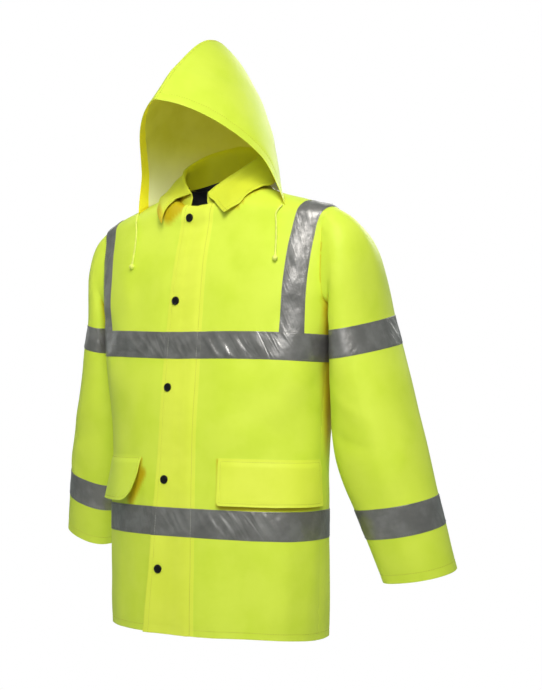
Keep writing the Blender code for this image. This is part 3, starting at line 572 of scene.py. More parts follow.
class Cloth:
    """A fine grid of points with outward normals. Rows run down and columns run round the body, from the
    front through the wearer's left side. A ring's last column is followed by its first.
    across and down are millimetres along the cloth, before it was creased."""

    def __init__(self, points, normals, ring, across, down, rows_at, columns_at):
        self.points, self.normals, self.ring = points, normals, ring
        self.across, self.down = across, down
        self.rows_at, self.columns_at = list(rows_at), list(columns_at)

    @classmethod
    def through(cls, coarse, row_cuts=None, ring=False, centre_column=0):
        """Fine cloth through a coarse grid. across is counted from one of its columns."""
        row_cuts = cuts(coarse, 0) if row_cuts is None else row_cuts
        column_cuts = cuts(coarse, 1, ring)
        points = finer(finer(coarse, row_cuts).swapaxes(0, 1), column_cuts, ring).swapaxes(0, 1)
        rows_at = np.concatenate([[0], np.cumsum(row_cuts)])
        columns_at = np.concatenate([[0], np.cumsum(column_cuts)])
        made = cls(points, None, ring, None, None, rows_at, columns_at)
        closed = made.closed(points)
        across = distances(closed, 1)
        made.across, made.down = across - across[:, [columns_at[centre_column]]], distances(closed, 0)
        made.face_out()
        return made

    @property
    def last(self):
        """The number of the coarse grid's last column."""
        return len(self.columns_at) - 1

    def face_out(self):
        p = self.points
        round_ = np.roll(p, -1, axis=1) - np.roll(p, 1, axis=1) if self.ring else np.gradient(p, axis=1)
        self.normals = unit(np.cross(np.gradient(p, axis=0), round_))

    def raised(self, height):
        """The same cloth with each point moved out by its height."""
        made = self.with_points(self.lifted(height))
        made.face_out()
        return made

    def with_points(self, points):
        """The same cloth along other points."""
        return Cloth(points, self.normals, self.ring, self.across, self.down, self.rows_at, self.columns_at)

    def lifted(self, height):
        height = np.asarray(height, float)
        return self.points + self.normals * (height[..., None] if height.ndim else height)

    def part(self, first_row, last_row, first_column=0, last_column=-1):
        """The cloth between two of the coarse grid's rows and two of its columns."""
        whole_ring = self.ring and first_column == 0 and last_column == -1
        rows_at = self.rows_at[first_row : last_row + 1 or None]
        columns_at = self.columns_at[first_column : last_column + 1 or None]
        rows = slice(rows_at[0], rows_at[-1] + 1)
        columns = slice(None) if whole_ring else slice(columns_at[0], columns_at[-1] + 1)
        return Cloth(
            self.points[rows, columns], self.normals[rows, columns], whole_ring,
            self.across[rows, columns], self.down[rows, columns],
            [r - rows_at[0] for r in rows_at], [c - columns_at[0] for c in columns_at],
        )

    def closed(self, grid):
        """A grid of the ring's points or normals, with the first column again after the last."""
        return np.concatenate([grid, grid[:, :1]], axis=1) if self.ring else grid

    def denser(self, times):
        """The same cloth with each gap cut into this many, on smooth curves."""
        rows, columns = self.points.shape[:2]
        spans = columns if self.ring else columns - 1
        points = finer(self.points, [times] * (rows - 1)).swapaxes(0, 1)
        points = finer(points, [times] * spans, self.ring).swapaxes(0, 1)
        made = Cloth(
            points, None, self.ring, upsampled(self.across, times), upsampled(self.down, times),
            [r * times for r in self.rows_at], [c * times for c in self.columns_at],
        )
        made.face_out()
        return made

    def sampled(self, rows, columns):
        """The cloth at a grid of places that may lie between its own rows and columns."""
        points, normals, across, down = (
            between(self.closed(grid), rows, columns)
            for grid in (self.points, self.normals, self.across[..., None], self.down[..., None])
        )
        size = [0, rows.shape[0] - 1], [0, rows.shape[1] - 1]
        return Cloth(points, unit(normals), False, across[..., 0], down[..., 0], *size)


def with_even_edge(cloth, width, from_end):
    """The cloth with its first columns at equal distances from its edge, up to a width, or its last ones."""
    cut = int(np.ceil(width / STEP))
    count = cloth.points.shape[1] - 1
    near = np.linspace(0, width, cut + 1)
    columns = []
    for row in cloth.across:
        total = row[-1] - row[0]
        target = np.concatenate([near, np.linspace(width, total, count - cut + 1)[1:]])
        target = total - target[::-1] if from_end else target
        columns.append(np.interp(target, row - row[0], np.arange(len(row))))
    columns = np.array(columns)
    rows = np.broadcast_to(np.arange(len(columns))[:, None], columns.shape)
    return cloth.sampled(rows, columns), cut


def between(grid, rows, columns):
    """A grid's values at places between its rows and columns."""
    i = np.clip(rows.astype(int), 0, grid.shape[0] - 2)
    j = np.clip(columns.astype(int), 0, grid.shape[1] - 2)
    s, t = (rows - i)[..., None], (columns - j)[..., None]
    upper = (1 - t) * grid[i, j] + t * grid[i, j + 1]
    lower = (1 - t) * grid[i + 1, j] + t * grid[i + 1, j + 1]
    return (1 - s) * upper + s * lower


def upsampled(grid, times):
    rows = np.linspace(0, grid.shape[0] - 1, (grid.shape[0] - 1) * times + 1)
    columns = np.linspace(0, grid.shape[1] - 1, (grid.shape[1] - 1) * times + 1)
    return between(grid[..., None], *np.meshgrid(rows, columns, indexing="ij"))[..., 0]


def beside(*cloths):
    """One strip of cloth from several that follow each other round the body."""
    first, *others = cloths
    across, columns_at = [first.across], list(first.columns_at)
    for cloth in others:
        across.append(cloth.across[:, 1:] - cloth.across[:, :1] + across[-1][:, -1:])
        columns_at += [columns_at[-1] + c for c in cloth.columns_at[1:]]

    def joined(key):
        return np.concatenate([getattr(first, key)] + [getattr(c, key)[:, 1:] for c in others], axis=1)

    across = np.concatenate(across, axis=1)
    points, normals, down = (joined(key) for key in ("points", "normals", "down"))
    return Cloth(points, normals, False, across, down, first.rows_at, columns_at)


# ---- Creases ----

CREASE_STEEP, CREASE_SOFT = 0.75, 1.35  # a crease is steeper on one side: its width there, as a share
PUCKER, PUCKER_DRIFT, PUCKER_FADE = 4.3, 31, 57  # lengths in radians along a seam
PUCKER_WIDTH, DIP_WIDTH = 9, 2.6


def creases(cloth, rows, level):
    """Height of listed creases. Each has its two ends (across and level), a bow to one side, a half
    width and a height, negative for a hollow. level is the second coordinate's grid."""
    across = cloth.across[:, : cloth.points.shape[1]]
    level = level[:, : cloth.points.shape[1]]
    total = np.zeros(across.shape)
    around = cloth.across[:, -1:] - cloth.across[:, :1]
    for across_0, level_0, across_1, level_1, bow, half_width, height in rows:
        x = across - across_0
        if cloth.ring:
            x = (x + around / 2) % around - around / 2
        run = np.array([across_1 - across_0, level_1 - level_0], float)
        length = np.linalg.norm(run)
        run /= length
        share = (x * run[0] + (level - level_0) * run[1]) / length
        off = x * run[1] - (level - level_0) * run[0] - bow * 4 * share * (1 - share)
        width = half_width * np.where(off > 0, CREASE_SOFT, CREASE_STEEP)
        width *= 1 + 0.25 * np.sin(share * 5 + across_0)
        fade = np.sin(np.pi * np.clip(share, 0, 1)) ** 0.8
        total += height * fade * np.exp(-((off / width) ** 2))
    return total


def on_side(table, side):
    """A table of creases for the wearer's left, 1, or mirrored for the right, -1."""
    return [(side * a, z, side * b, y, side * bow, w, h) for a, z, b, y, bow, w, h in table]


def waves(cloth, size, height, seed=0.0):
    """Shallow uneven waves of about one size all over, the same on neighbouring pieces."""
    flat = cloth.points.reshape(-1, 3) / size + seed
    values = [noise.noise(Vector(p)) for p in flat]
    return height * np.array(values).reshape(cloth.points.shape[:2])


def seam_dip(distance, along, depth=0.7, ripple=0.35):
    """A seam pulls the cloth in along its line and puckers it a little beside it."""
    pucker = np.sin(along / PUCKER + 1.7 * np.sin(along / PUCKER_DRIFT))
    pucker *= np.exp(-((distance / PUCKER_WIDTH) ** 2)) * (0.6 + 0.4 * np.sin(along / PUCKER_FADE))
    return ripple * pucker - depth * np.exp(-((distance / DIP_WIDTH) ** 2))


# ---- Meshes ----


def border(rows, columns, ring):
    """The edge loops of a grid, each as points in order, with the outer face on their left."""
    first, last = [(0, j) for j in range(columns)], [(rows - 1, j) for j in reversed(range(columns))]
    if ring:
        return [first, last]
    down, up = [(i, columns - 1) for i in range(1, rows)], [(i, 0) for i in range(rows - 2, 0, -1)]
    return [first + down + last[1:] + up]


EDGE_SHARE = 0.1  # of a step: how far inside its edge a wall has one more line, which keeps the edge crisp
ROUND_EDGE = 0.35  # of the ply: how far the middle of an edge stands out


def with_edge_lines(grid, ring):
    """The grid with one more line of points just inside each of its edges."""
    for axis in (0,) if ring else (0, 1):
        grid = grid.swapaxes(0, axis)
        first, last = grid[:1], grid[-1:]
        near_first = first + (grid[1:2] - first) * EDGE_SHARE
        near_last = last + (grid[-2:-1] - last) * EDGE_SHARE
        grid = np.concatenate([first, near_first, grid[1:-1], near_last, last]).swapaxes(0, axis)
    return grid


def face_grid(choice, shape, ring):
    """The material of each face of a wall, from one number or a grid of them for the cloth's own faces."""
    grid = np.broadcast_to(choice, shape)
    return np.pad(grid, ((1, 1), (0, 0) if ring else (1, 1)), mode="edge")


def shell(name, cloth, low, high, surfaces, inside, outside):
    """A thin closed wall between two lifts of the cloth, with a rounded edge. surfaces are its materials, and
    inside and outside give the index of the one to use, for the whole side or as a grid of faces."""
    ring = cloth.ring
    own_faces = cloth.points.shape[0] - 1, cloth.points.shape[1] - (0 if ring else 1)
    within, without = face_grid(inside, own_faces, ring), face_grid(outside, own_faces, ring)
    under, over = (with_edge_lines(cloth.lifted(lift), ring) for lift in (low, high))
    uv = with_edge_lines(np.stack([cloth.across, cloth.down], axis=-1) * MM, ring)
    rows, columns = over.shape[:2]
    spans = columns if ring else columns - 1
    over, under = over.reshape(-1, 3), under.reshape(-1, 3)
    count = len(over)
    i, j = np.meshgrid(np.arange(rows - 1), np.arange(spans), indexing="ij")
    k = (j + 1) % columns
    near, far = i * columns, (i + 1) * columns
    quads = np.stack([near + j, far + j, far + k, near + k], axis=-1).reshape(-1, 4)
    corners = np.stack([uv[i, j], uv[i + 1, j], uv[i + 1, j + 1], uv[i, j + 1]], axis=2).reshape(-1, 4, 2)
    vertices, faces = [over, under], [quads, quads[:, ::-1] + count]
    corners_uv = [corners, corners[:, ::-1]]
    indices = [without.reshape(-1), within.reshape(-1)]
    start = 2 * count
    for loop in border(rows, columns, ring):
        i, j = np.array(loop).T
        inward_row = (i == 0).astype(int) - (i == rows - 1)
        inward_column = 0 if ring else (j == 0).astype(int) - (j == columns - 1)
        a = i * columns + j
        outward = unit(over[a] - over[(i + inward_row) * columns + (j + inward_column) % columns] + TINY)
        ply = np.linalg.norm(over[a] - under[a], axis=1, keepdims=True)
        vertices.append((over[a] + under[a]) / 2 + outward * ply * ROUND_EDGE)
        m = start + np.arange(len(loop))
        b, n = np.roll(a, -1), np.roll(m, -1)
        faces += [np.stack([a, b, n, m], axis=1), np.stack([m, n, b + count, a + count], axis=1)]
        edge, edge_next = uv[i, j], np.roll(uv[i, j], -1, axis=0)
        corners_uv += [np.stack([edge, edge_next, edge_next, edge], axis=1)] * 2
        beside_edge = np.minimum(i, rows - 2), np.minimum(j, spans - 1)
        indices += [without[beside_edge], within[beside_edge]]
        start += len(loop)
    vertices, faces, indices, corners_uv = map(np.concatenate, (vertices, faces, indices, corners_uv))
    return solid(name, vertices, faces, surfaces, indices, corners_uv)


def solid(name, vertices, faces, surfaces, indices=None, corners_uv=None):
    """A smooth mesh object from millimetre points."""
    mesh = bpy.data.meshes.new(name)
    mesh.from_pydata((np.asarray(vertices) * MM).tolist(), [], list(map(tuple, faces)))
    for surface in surfaces:
        mesh.materials.append(surface)
    if indices is not None:
        mesh.polygons.foreach_set("material_index", np.asarray(indices, np.int32))
    if corners_uv is not None:
        layer = mesh.uv_layers.new(name="cloth")
        layer.data.foreach_set("uv", np.asarray(corners_uv, np.float32).reshape(-1))
    mesh.shade_smooth()
    return link(name, mesh)


def link(name, data):
    """A new object in the scene."""
    made = bpy.data.objects.new(name, data)
    bpy.context.scene.collection.objects.link(made)
    return made


def dress(piece, slot, *nodes):
    """The piece rides on the jacket and stands for these solids, which it hides. Its slot is not used."""
    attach(piece, "root")
    if nodes:
        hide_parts(*nodes)
    return piece


def cut_size(cloth):
    """The cloth's flat width and length, and its area, in metres."""
    closed = cloth.closed(cloth.points)
    width = distances(closed, 1)[:, -1].max() * MM
    length = distances(cloth.points, 0)[-1].max() * MM
    a, b, c, d = closed[:-1, :-1], closed[1:, :-1], closed[1:, 1:], closed[:-1, 1:]
    area = 0.5 * np.linalg.norm(np.cross(c - a, d - b), axis=-1).sum()
    return (round(width, 3), round(length, 3)), min(area * MM * MM, width * length)


def sew(name, cloth, low, high, looks, inside=0, outside=0, slot="hi_vis_cloth"):
    """A sheet of the jacket that stands for the solid of this name: its wall. Its flat size is worked out but
    not used.
    """
    ending = "film" if slot == "reflective_tape" else "cloth"
    piece = dress(shell(f"{name}_{ending}", cloth, low, high, looks, inside, outside), slot, name)
    flat, area = cut_size(cloth)
    return piece


# ---- Sewing ----

STITCH_PITCH, STITCH_LENGTH, STITCH_RADIUS = 4.4, 3.0, 0.52
STITCH_SHOULDER = 0.6  # of its half length: where a stitch is at its thickest
STITCH_SUNK = 0.3  # of its radius: how deep its two ends sink


def line_of(rows, columns):
    """A line across a cloth, as places in its grid."""
    return np.column_stack(np.broadcast_arrays(np.asarray(rows, float), np.asarray(columns, float)))


def at_distance(grid_line, distance):
    """Where along one row or column of distances a distance is reached, as a place between its points."""
    return float(np.interp(distance, grid_line, np.arange(len(grid_line))))


def stitch_along(cloth, line, lift):
    """The stitches' middles, ways and normals along a line of places in a cloth's grid."""
    rows, columns = line[:, 0][None], line[:, 1][None]
    points = between(cloth.closed(cloth.points), rows, columns)[0]
    normals = unit(between(cloth.closed(cloth.normals), rows, columns)[0])
    points = points + normals * lift
    along = np.concatenate([[0], np.cumsum(np.linalg.norm(np.diff(points, axis=0), axis=1))])
    marks = np.arange(STITCH_PITCH / 2, along[-1], STITCH_PITCH)

    def at(grid, where):
        return np.column_stack([np.interp(where, along, grid[:, k]) for k in range(3)])

    way = unit(at(points, marks + 1) - at(points, marks - 1) + TINY)
    return at(points, marks), way, unit(at(normals, marks))


def add_stitches(name, lines, slot, surface):
    """One mesh of short rounded stitches. lines holds the cloth, its line of places and the lift above it."""
    middles, ways, normals = (np.concatenate(part) for part in zip(*(stitch_along(*line) for line in lines)))
    sides = np.cross(ways, normals)
    half, r = STITCH_LENGTH / 2, STITCH_RADIUS
    corners = [middles + ways * half * end - normals * r * STITCH_SUNK for end in (-1, 1)]
    for end in (-STITCH_SHOULDER, STITCH_SHOULDER):
        ring = middles + ways * half * end
        corners += [ring + sides * r, ring + normals * r, ring - sides * r, ring - normals * r]
    shape = []
    for k in range(4):
        near, far, n = 2 + k, 6 + k, (k + 1) % 4
        shape += [(0, 2 + n, near), (1, far, 6 + n), (near, 2 + n, 6 + n, far)]
    faces = [tuple(len(corners) * k + c for c in face) for k in range(len(middles)) for face in shape]
    dress(solid(name, np.stack(corners, axis=1).reshape(-1, 3), faces, [surface]), slot)


# ---- Materials ----


def connect(tree, socket, value):
    """Links a socket to another one, or sets it to a number, a place or a colour."""
    if isinstance(value, bpy.types.NodeSocket):
        tree.links.new(value, socket)
    else:
        socket.default_value = (*value, 1) if socket.type == "RGBA" else value


def new_material(name):
    made = bpy.data.materials.new(name)
    made.use_nodes = True
    return made, made.node_tree


def shaded(material, inputs):
    """The material, with these inputs of its shader linked or set."""
    tree = material.node_tree
    for key, value in inputs.items():
        connect(tree, tree.nodes["Principled BSDF"].inputs[key], value)
    return material


def node(tree, kind, inputs=(), **settings):
    """A node with these settings, and with these of its inputs linked or set."""
    made = tree.nodes.new(kind)
    for key, value in settings.items():
        setattr(made, key, value)
    for key, value in dict(inputs).items():
        connect(tree, made.inputs[key], value)
    return made


def maths(tree, operation, *values):
    return node(tree, "ShaderNodeMath", enumerate(values), operation=operation).outputs[0]


def parts_of(tree, vector):
    """The x, y and z of a vector."""
    return list(node(tree, "ShaderNodeSeparateXYZ", {0: vector}).outputs)


def flat_place(tree):
    """The cloth's own flat coordinates: across it and down it."""
    return parts_of(tree, node(tree, "ShaderNodeUVMap", uv_map="cloth").outputs[0])[:2]


def weave_height(tree, pitch):
    """Height of a plain weave of this pitch, from the cloth's own flat coordinates."""
    turns = 2 * math.pi / (pitch * MM)
    across, down = (maths(tree, "SINE", maths(tree, "MULTIPLY", way, turns)) for way in flat_place(tree))
    return maths(tree, "MULTIPLY", across, down)


def noise_value(tree, size, detail, seed):
    """Soft noise of about one size in millimetres, in the object's own space."""
    place = node(tree, "ShaderNodeTexCoord").outputs["Object"]
    shift = {"Vector": place, "Location": (seed, seed * 0.7, seed * 0.3)}
    inputs = {"Vector": node(tree, "ShaderNodeMapping", shift).outputs[0], "Scale": 1 / (size * MM)}
    return node(tree, "ShaderNodeTexNoise", {**inputs, "Detail": detail}).outputs["Fac"]


def streaks(tree, width, length):
    """Noise drawn out in millimetres along the cloth's diagonal, as the film creases."""
    place = flat_place(tree)
    ways = [
        maths(tree, "MULTIPLY", maths(tree, operation, *place), math.sqrt(0.5) / (size * MM))
        for operation, size in (("SUBTRACT", width), ("ADD", length))
    ]
    inputs = {"Vector": node(tree, "ShaderNodeCombineXYZ", enumerate(ways)).outputs[0], "Scale": 1}
    return node(tree, "ShaderNodeTexNoise", {**inputs, "Detail": 1.5, "Distortion": 0.6}).outputs["Fac"]


def bump(tree, height, distance, strength=1.0, under=None):
    """A surface's slope from a height, over that of a bump under it."""
    inputs = {"Distance": distance * MM, "Strength": strength, "Height": height}
    if under is not None:
        inputs["Normal"] = under
    return node(tree, "ShaderNodeBump", inputs).outputs["Normal"]


def mixed(tree, factor, first, second):
    """A colour between two colours, each a colour or a socket. A mix's colours are its inputs 6 and 7."""
    return node(tree, "ShaderNodeMix", {"Factor": factor, 6: first, 7: second}, data_type="RGBA").outputs[2]


def ramp(tree, value, low, high):
    """0 to 1 as a value goes from low to high, with soft ends."""
    inputs = {"Value": value, "From Min": low, "From Max": high}
    return node(tree, "ShaderNodeMapRange", inputs, interpolation_type="SMOOTHSTEP").outputs[0]


def toned(tree, size, low, high, colour, second, seed=0.0):
    """One colour that turns to a second one in soft patches of about this size."""
    return mixed(tree, ramp(tree, noise_value(tree, size, 4, seed), low, high), colour, second)


# Colours in linear light. Each look goes in soft patches from its first colour to its second.
# Painted shade: the warm dark colour that stands for shade where other cloth closes the cloth in.
PAINTED_CLOSED_IN_SHADE = (0.60, 0.44, 0.0)  # of cloth that is closed in by other cloth
# The hood coating's pale colour low down is painted light.
COATING_TONE, COATING_DEEP, COATING_PAINTED_LIGHT = (0.72, 0.69, 0.09), (0.65, 0.62, 0.06), (0.84, 0.84, 0.50)
COATING_PAINTED_LIGHT_FROM = (0.12, 0.01)  # the heights, in metres, between which the coating turns pale
TAPE_GREY, TAPE_PALE = (0.205, 0.198, 0.193), (0.28, 0.272, 0.266)


def cloth_material(name, colour, deep, roughness, painted_glow=0.0):
    """Coated polyester: a soft sheen, a fine weave, small crumples, and a painted warm shade where other
    cloth closes it in. Its glow, where given, is painted light.
    """
    made, tree = new_material(name)
    # Painted shade: the attribute turns the tone to a warm dark colour where other cloth closes the cloth in.
    shade = node(tree, "ShaderNodeAttribute", attribute_name="painted_shade").outputs["Fac"]
    tone = mixed(tree, shade, toned(tree, 60, 0.35, 0.75, colour, deep), PAINTED_CLOSED_IN_SHADE)
    crumpled = bump(tree, noise_value(tree, 14, 4, 3.0), 0.3)
    inputs = {
        "Base Color": tone,
        "Roughness": roughness,
        "Specular IOR Level": 0.25,
        "Sheen Weight": 0.03,
        "Sheen Roughness": 0.5,
        "Normal": bump(tree, weave_height(tree, 0.8), 0.05, 0.5, crumpled),
    }
    # Painted light: the cloth glows, though it is no lamp.
    if painted_glow:
        inputs |= {"Emission Color": tone, "Emission Strength": painted_glow}
    return shaded(made, inputs)


def coating_material():
    """The hood's rubbery inside, paler low down as painted light. Its glow is painted light for the light
    that comes through the cloth.
    """
    made, tree = new_material("inner_coating")
    tone = toned(tree, 50, 0.3, 0.75, COATING_TONE, COATING_DEEP)
    height = parts_of(tree, node(tree, "ShaderNodeTexCoord").outputs["Object"])[2]
    # Painted light: the coating turns paler low down.
    tone = mixed(tree, ramp(tree, height, *COATING_PAINTED_LIGHT_FROM), tone, COATING_PAINTED_LIGHT)
    inputs = {
        "Base Color": tone,
        "Emission Color": tone,
        "Emission Strength": 0.13,
        "Roughness": 0.6,
        "Specular IOR Level": 0.25,
        "Normal": bump(tree, noise_value(tree, 12, 4, 6.0), 0.3),
    }
    return shaded(made, inputs)


def tape_material(name, streak_depth, crumple, roughness):
    """Grey retro-reflective film, crumpled a little, so that it catches soft blotches of light."""
    made, tree = new_material(name)
    blotch = ramp(tree, noise_value(tree, 26, 5, 7.0), 0.35, 0.7)
    crumpled = bump(tree, noise_value(tree, 10, 3, 5.0), crumple)
    streaked = bump(tree, streaks(tree, 12, 42), streak_depth, 1.0, crumpled)
    inputs = {
        "Base Color": mixed(tree, blotch, TAPE_GREY, TAPE_PALE),
        "Metallic": 0.5,
        "Roughness": roughness,
        "Specular IOR Level": 0.5,
        "Normal": bump(tree, weave_height(tree, 0.9), 0.03, 0.5, streaked),
    }
    return shaded(made, inputs)


def plain_material(name, colour, roughness, crumple=0.0, specular=0.5):
    """One colour, a little uneven, on a smooth or a crumpled surface."""
    made, tree = new_material(name)
    tone = toned(tree, 12, 0.3, 0.7, colour, tuple(c * 0.8 for c in colour), 1.0)
    inputs = {"Base Color": tone, "Roughness": roughness, "Specular IOR Level": specular}
    if crumple:
        inputs["Normal"] = bump(tree, noise_value(tree, 8, 3, 2.0), crumple)
    return shaded(made, inputs)


OUTSIDE = cloth_material("hi_vis_cloth_look", (0.70, 0.84, 0.072), (0.645, 0.80, 0.052), 0.5)
# A lighter copy of the cloth, as painted light, for the placket and the left pocket flap.
LIT_CLOTH = cloth_material("lit_cloth_look", (0.775, 0.86, 0.08), (0.735, 0.83, 0.065), 0.5)
# The hood's turned front hem is the same cloth: its warmer tone is painted shade and its glow painted light.
PAINTED_HEM_CLOTH = cloth_material("turned_hem_painted_look", (0.86, 0.79, 0.03), (0.80, 0.72, 0.02), 0.55, painted_glow=0.2)
# The collar's leaf: a warmer, darker copy of the cloth, as painted shade of the hood above it.
SHADED_LEAF = cloth_material("collar_leaf_shaded_look", (0.69, 0.755, 0.052), (0.64, 0.70, 0.04), 0.5)
# The collar's stand inside the neck: an olive copy of the cloth as painted shade, with a painted glow.
SHADED_STAND = cloth_material("collar_stand_shaded_look", (0.74, 0.74, 0.02), (0.68, 0.67, 0.015), 0.55, painted_glow=0.05)
COATING = coating_material()
LINING = plain_material("dark_lining_look", (0.009, 0.012, 0.022), 0.3, 1.2, 0.8)
TAPE = tape_material("reflective_tape_look", 1.5, 0.5, 0.3)
SHOULDER_TAPE = tape_material("shoulder_tape_look", 0.8, 0.8, 0.36)
SNAP = plain_material("black_snap_look", (0.006, 0.006, 0.007), 0.28, specular=0.22)
CORD = plain_material("cord_look", (0.85, 0.93, 0.17), 0.65)
THREAD = plain_material("thread", (0.58, 0.63, 0.04), 0.7)
# A darker thread for the placket's seam, as painted shade of its puckers.
SHADED_THREAD = plain_material("shaded_thread", (0.46, 0.46, 0.03), 0.7)
PALE_THREAD = plain_material("pale_thread", (0.46, 0.47, 0.40), 0.7)
GREY_THREAD = plain_material("grey_thread", (0.20, 0.20, 0.16), 0.7)


# ---- The panels ----

FRONT_CREASES = (
    # across, z, across, z, bow, half width, height
    (250, -330, 330, -190, 10, 16, 1.6),
    (215, -360, 320, -235, 12, 12, -1.3),
    (60, -640, 120, -330, -14, 26, 1.4),
    (150, -620, 210, -380, 10, 22, -1.2),
    (235, -760, 260, -560, 8, 20, 1.5),
    (120, -770, 135, -600, -6, 18, -1.3),
    (70, -30, 120, -180, 10, 20, -1.2),
    (150, -60, 110, -230, -12, 22, 1.1),
    (210, -60, 190, -200, -10, 14, 0.9),
    (30, -110, 34, -240, 0, 9, -0.7),
)
BACK_CREASES = (
    (-250, -340, -120, -200, 14, 20, 2.6),
    (250, -350, 110, -210, -12, 20, 2.4),
    (-240, -300, -90, -150, -10, 13, -1.7),
    (235, -290, 120, -130, 12, 14, -1.6),
    (-80, -700, -60, -300, 12, 24, 2.4),
    (60, -740, 90, -330, -10, 24, 2.6),
    (-170, -780, -150, -480, 8, 20, -2.2),
    (190, -780, 160, -520, -8, 20, -2.2),
    (-40, -60, 30, -210, 14, 22, 1.2),
    (20, -20, -60, -150, -10, 18, -1.1),
    (-230, -760, -240, -600, 5, 16, 1.3),
    (0, -780, 10, -600, 5, 22, -1.4),
)

# Lines of stitches: each is a cloth, a line of places in its grid and the lift above it.
STITCHES = []  # the hi-vis seams
# The placket's seam is drawn in the darker thread, painted shade of its puckers.
PLACKET_STITCHES = []  # the pulled seam that holds the placket
TAPE_STITCHES = []
PALE_STITCHES = []  # where the placket is sewn through a tape
PALE_STITCH_LIFT = 1.0


def level_line(cloth, distance, from_end=False):
    """A line across the cloth at one distance from its upper edge, or from its lower one."""
    down = cloth.down[-1:] - distance if from_end else cloth.down[:1] + distance
    rows = [at_distance(cloth.down[:, j], down[0, j]) for j in range(cloth.down.shape[1])]
    return line_of(rows, np.arange(len(rows)))


def upright_line(cloth, distance, from_end=False):
    """A line down the cloth at one distance from its first column, or from its last one."""
    across = cloth.across[:, -1] - distance if from_end else cloth.across[:, 0] + distance
    columns = [at_distance(cloth.across[i], across[i]) for i in range(len(cloth.across))]
    return line_of(np.arange(len(columns)), columns)


def body_panels(coarse_left, coarse_right, coarse_back):
    """Fine creased cloth of the front left, front right and back."""
    row_cuts = cuts(coarse_left, 0)
    middle = (coarse_back.shape[1] - 1) // 2
    made = []
    for coarse, centre, table, side in (
        (coarse_left, 0, FRONT_CREASES, 1),
        (coarse_right, -1, FRONT_CREASES, -1),
        (coarse_back, middle, BACK_CREASES, 1),
    ):
        fine = Cloth.through(coarse, row_cuts, centre_column=centre)
        height = creases(fine, on_side(table, side), fine.points[..., 2])
        height += waves(fine, 90, 1.6) + waves(fine, 38, 0.5, 4.0)
        made.append(hem_level(fine.raised(height)))
    return made


HEM_DROP = (
    # x, y, reach and drop: the hem hangs a little lower at the wearer's left side and higher in front of it
    (236, 20, 75, 6.0),
    (160, -110, 85, -4.5),
)
HEM_DROP_TOP, HEM_DROP_FULL = -690, -775  # the heights where the drop starts and is full


def hem_level(cloth):
    """Lets the lowest part of a panel hang unevenly."""
    points = cloth.points.copy()
    low = eased((HEM_DROP_TOP - points[..., 2]) / (HEM_DROP_TOP - HEM_DROP_FULL))
    for x, y, reach, drop in HEM_DROP:
        away = np.hypot(points[..., 0] - x, points[..., 1] - y)
        points[..., 2] -= drop * low * np.exp(-((away / reach) ** 2))
    return cloth.with_points(points)


def dip_panels(panels):
    """Pulls the side, shoulder and front seams and the stitched hem in."""
    made = []
    for cloth in panels:
        down, across = cloth.down, cloth.across
        height = seam_dip(down, across) * 0.7
        height += seam_dip(across - across[:, :1], down) * 0.8
        height += seam_dip(across[:, -1:] - across, down) * 0.8
        height += seam_dip(np.abs(down[-1:] - down - HEM_STITCH), across, 0.5, 0.5)
        made.append(cloth.raised(height))
    return made


def facing_mask(cloth, width):
    """Inner faces within a width of the lower edge show the turned hem, and the others the lining."""
    from_edge = (cloth.down[-1:] - cloth.down).mean(axis=1)
    spans = cloth.points.shape[1] - (0 if cloth.ring else 1)
    return np.repeat(np.where(from_edge[:-1] < width, 0, 1)[:, None], spans, axis=1)


def add_panels(front_left, front_right, back):
    """The three panels, each with its turned and stitched hem."""
    for name, cloth in (("front_left", front_left), ("front_right", front_right), ("back", back)):
        facing = facing_mask(cloth, HEM_FACING)
        sew(name, cloth, 0, CLOTH, [OUTSIDE, LINING], facing)
        STITCHES.append((cloth, level_line(cloth, HEM_STITCH, True), CLOTH))


# ---- Sleeves ----

SLEEVE_CREASES = (
    # across, z, across, z, bow, half width, height: 0 is the outside, then the rear, the inside and the front
    (-60, -90, -40, -230, 10, 14, 1.2),
    (30, -80, 60, -210, -10, 14, -1.0),
    (-160, -330, -60, -400, 14, 14, 1.8),
    (-180, -400, -70, -440, 12, 12, -1.6),
    (-40, -430, -110, -520, -10, 14, 1.2),
    (20, -560, 10, -300, 10, 24, 1.2),
    (120, -330, 200, -420, 12, 16, 2.0),
    (110, -420, 190, -470, -8, 12, -1.6),
    (60, -600, 80, -420, 8, 18, 1.2),
    (-60, -655, -50, -560, 5, 14, 1.0),
)
CAP_SMOOTH = 30  # below the armhole: the creases reach their full height there


def add_sleeves(front_left, front_right, back):
    """The sleeves with their tapes, from the coarse panels that their armholes are cut in."""
    add_sleeve("left", 1, armhole(front_left[:, -1], back[:, 0]))
    add_sleeve("right", -1, armhole(front_right[:, 0] * FLIP, back[:, -1] * FLIP))


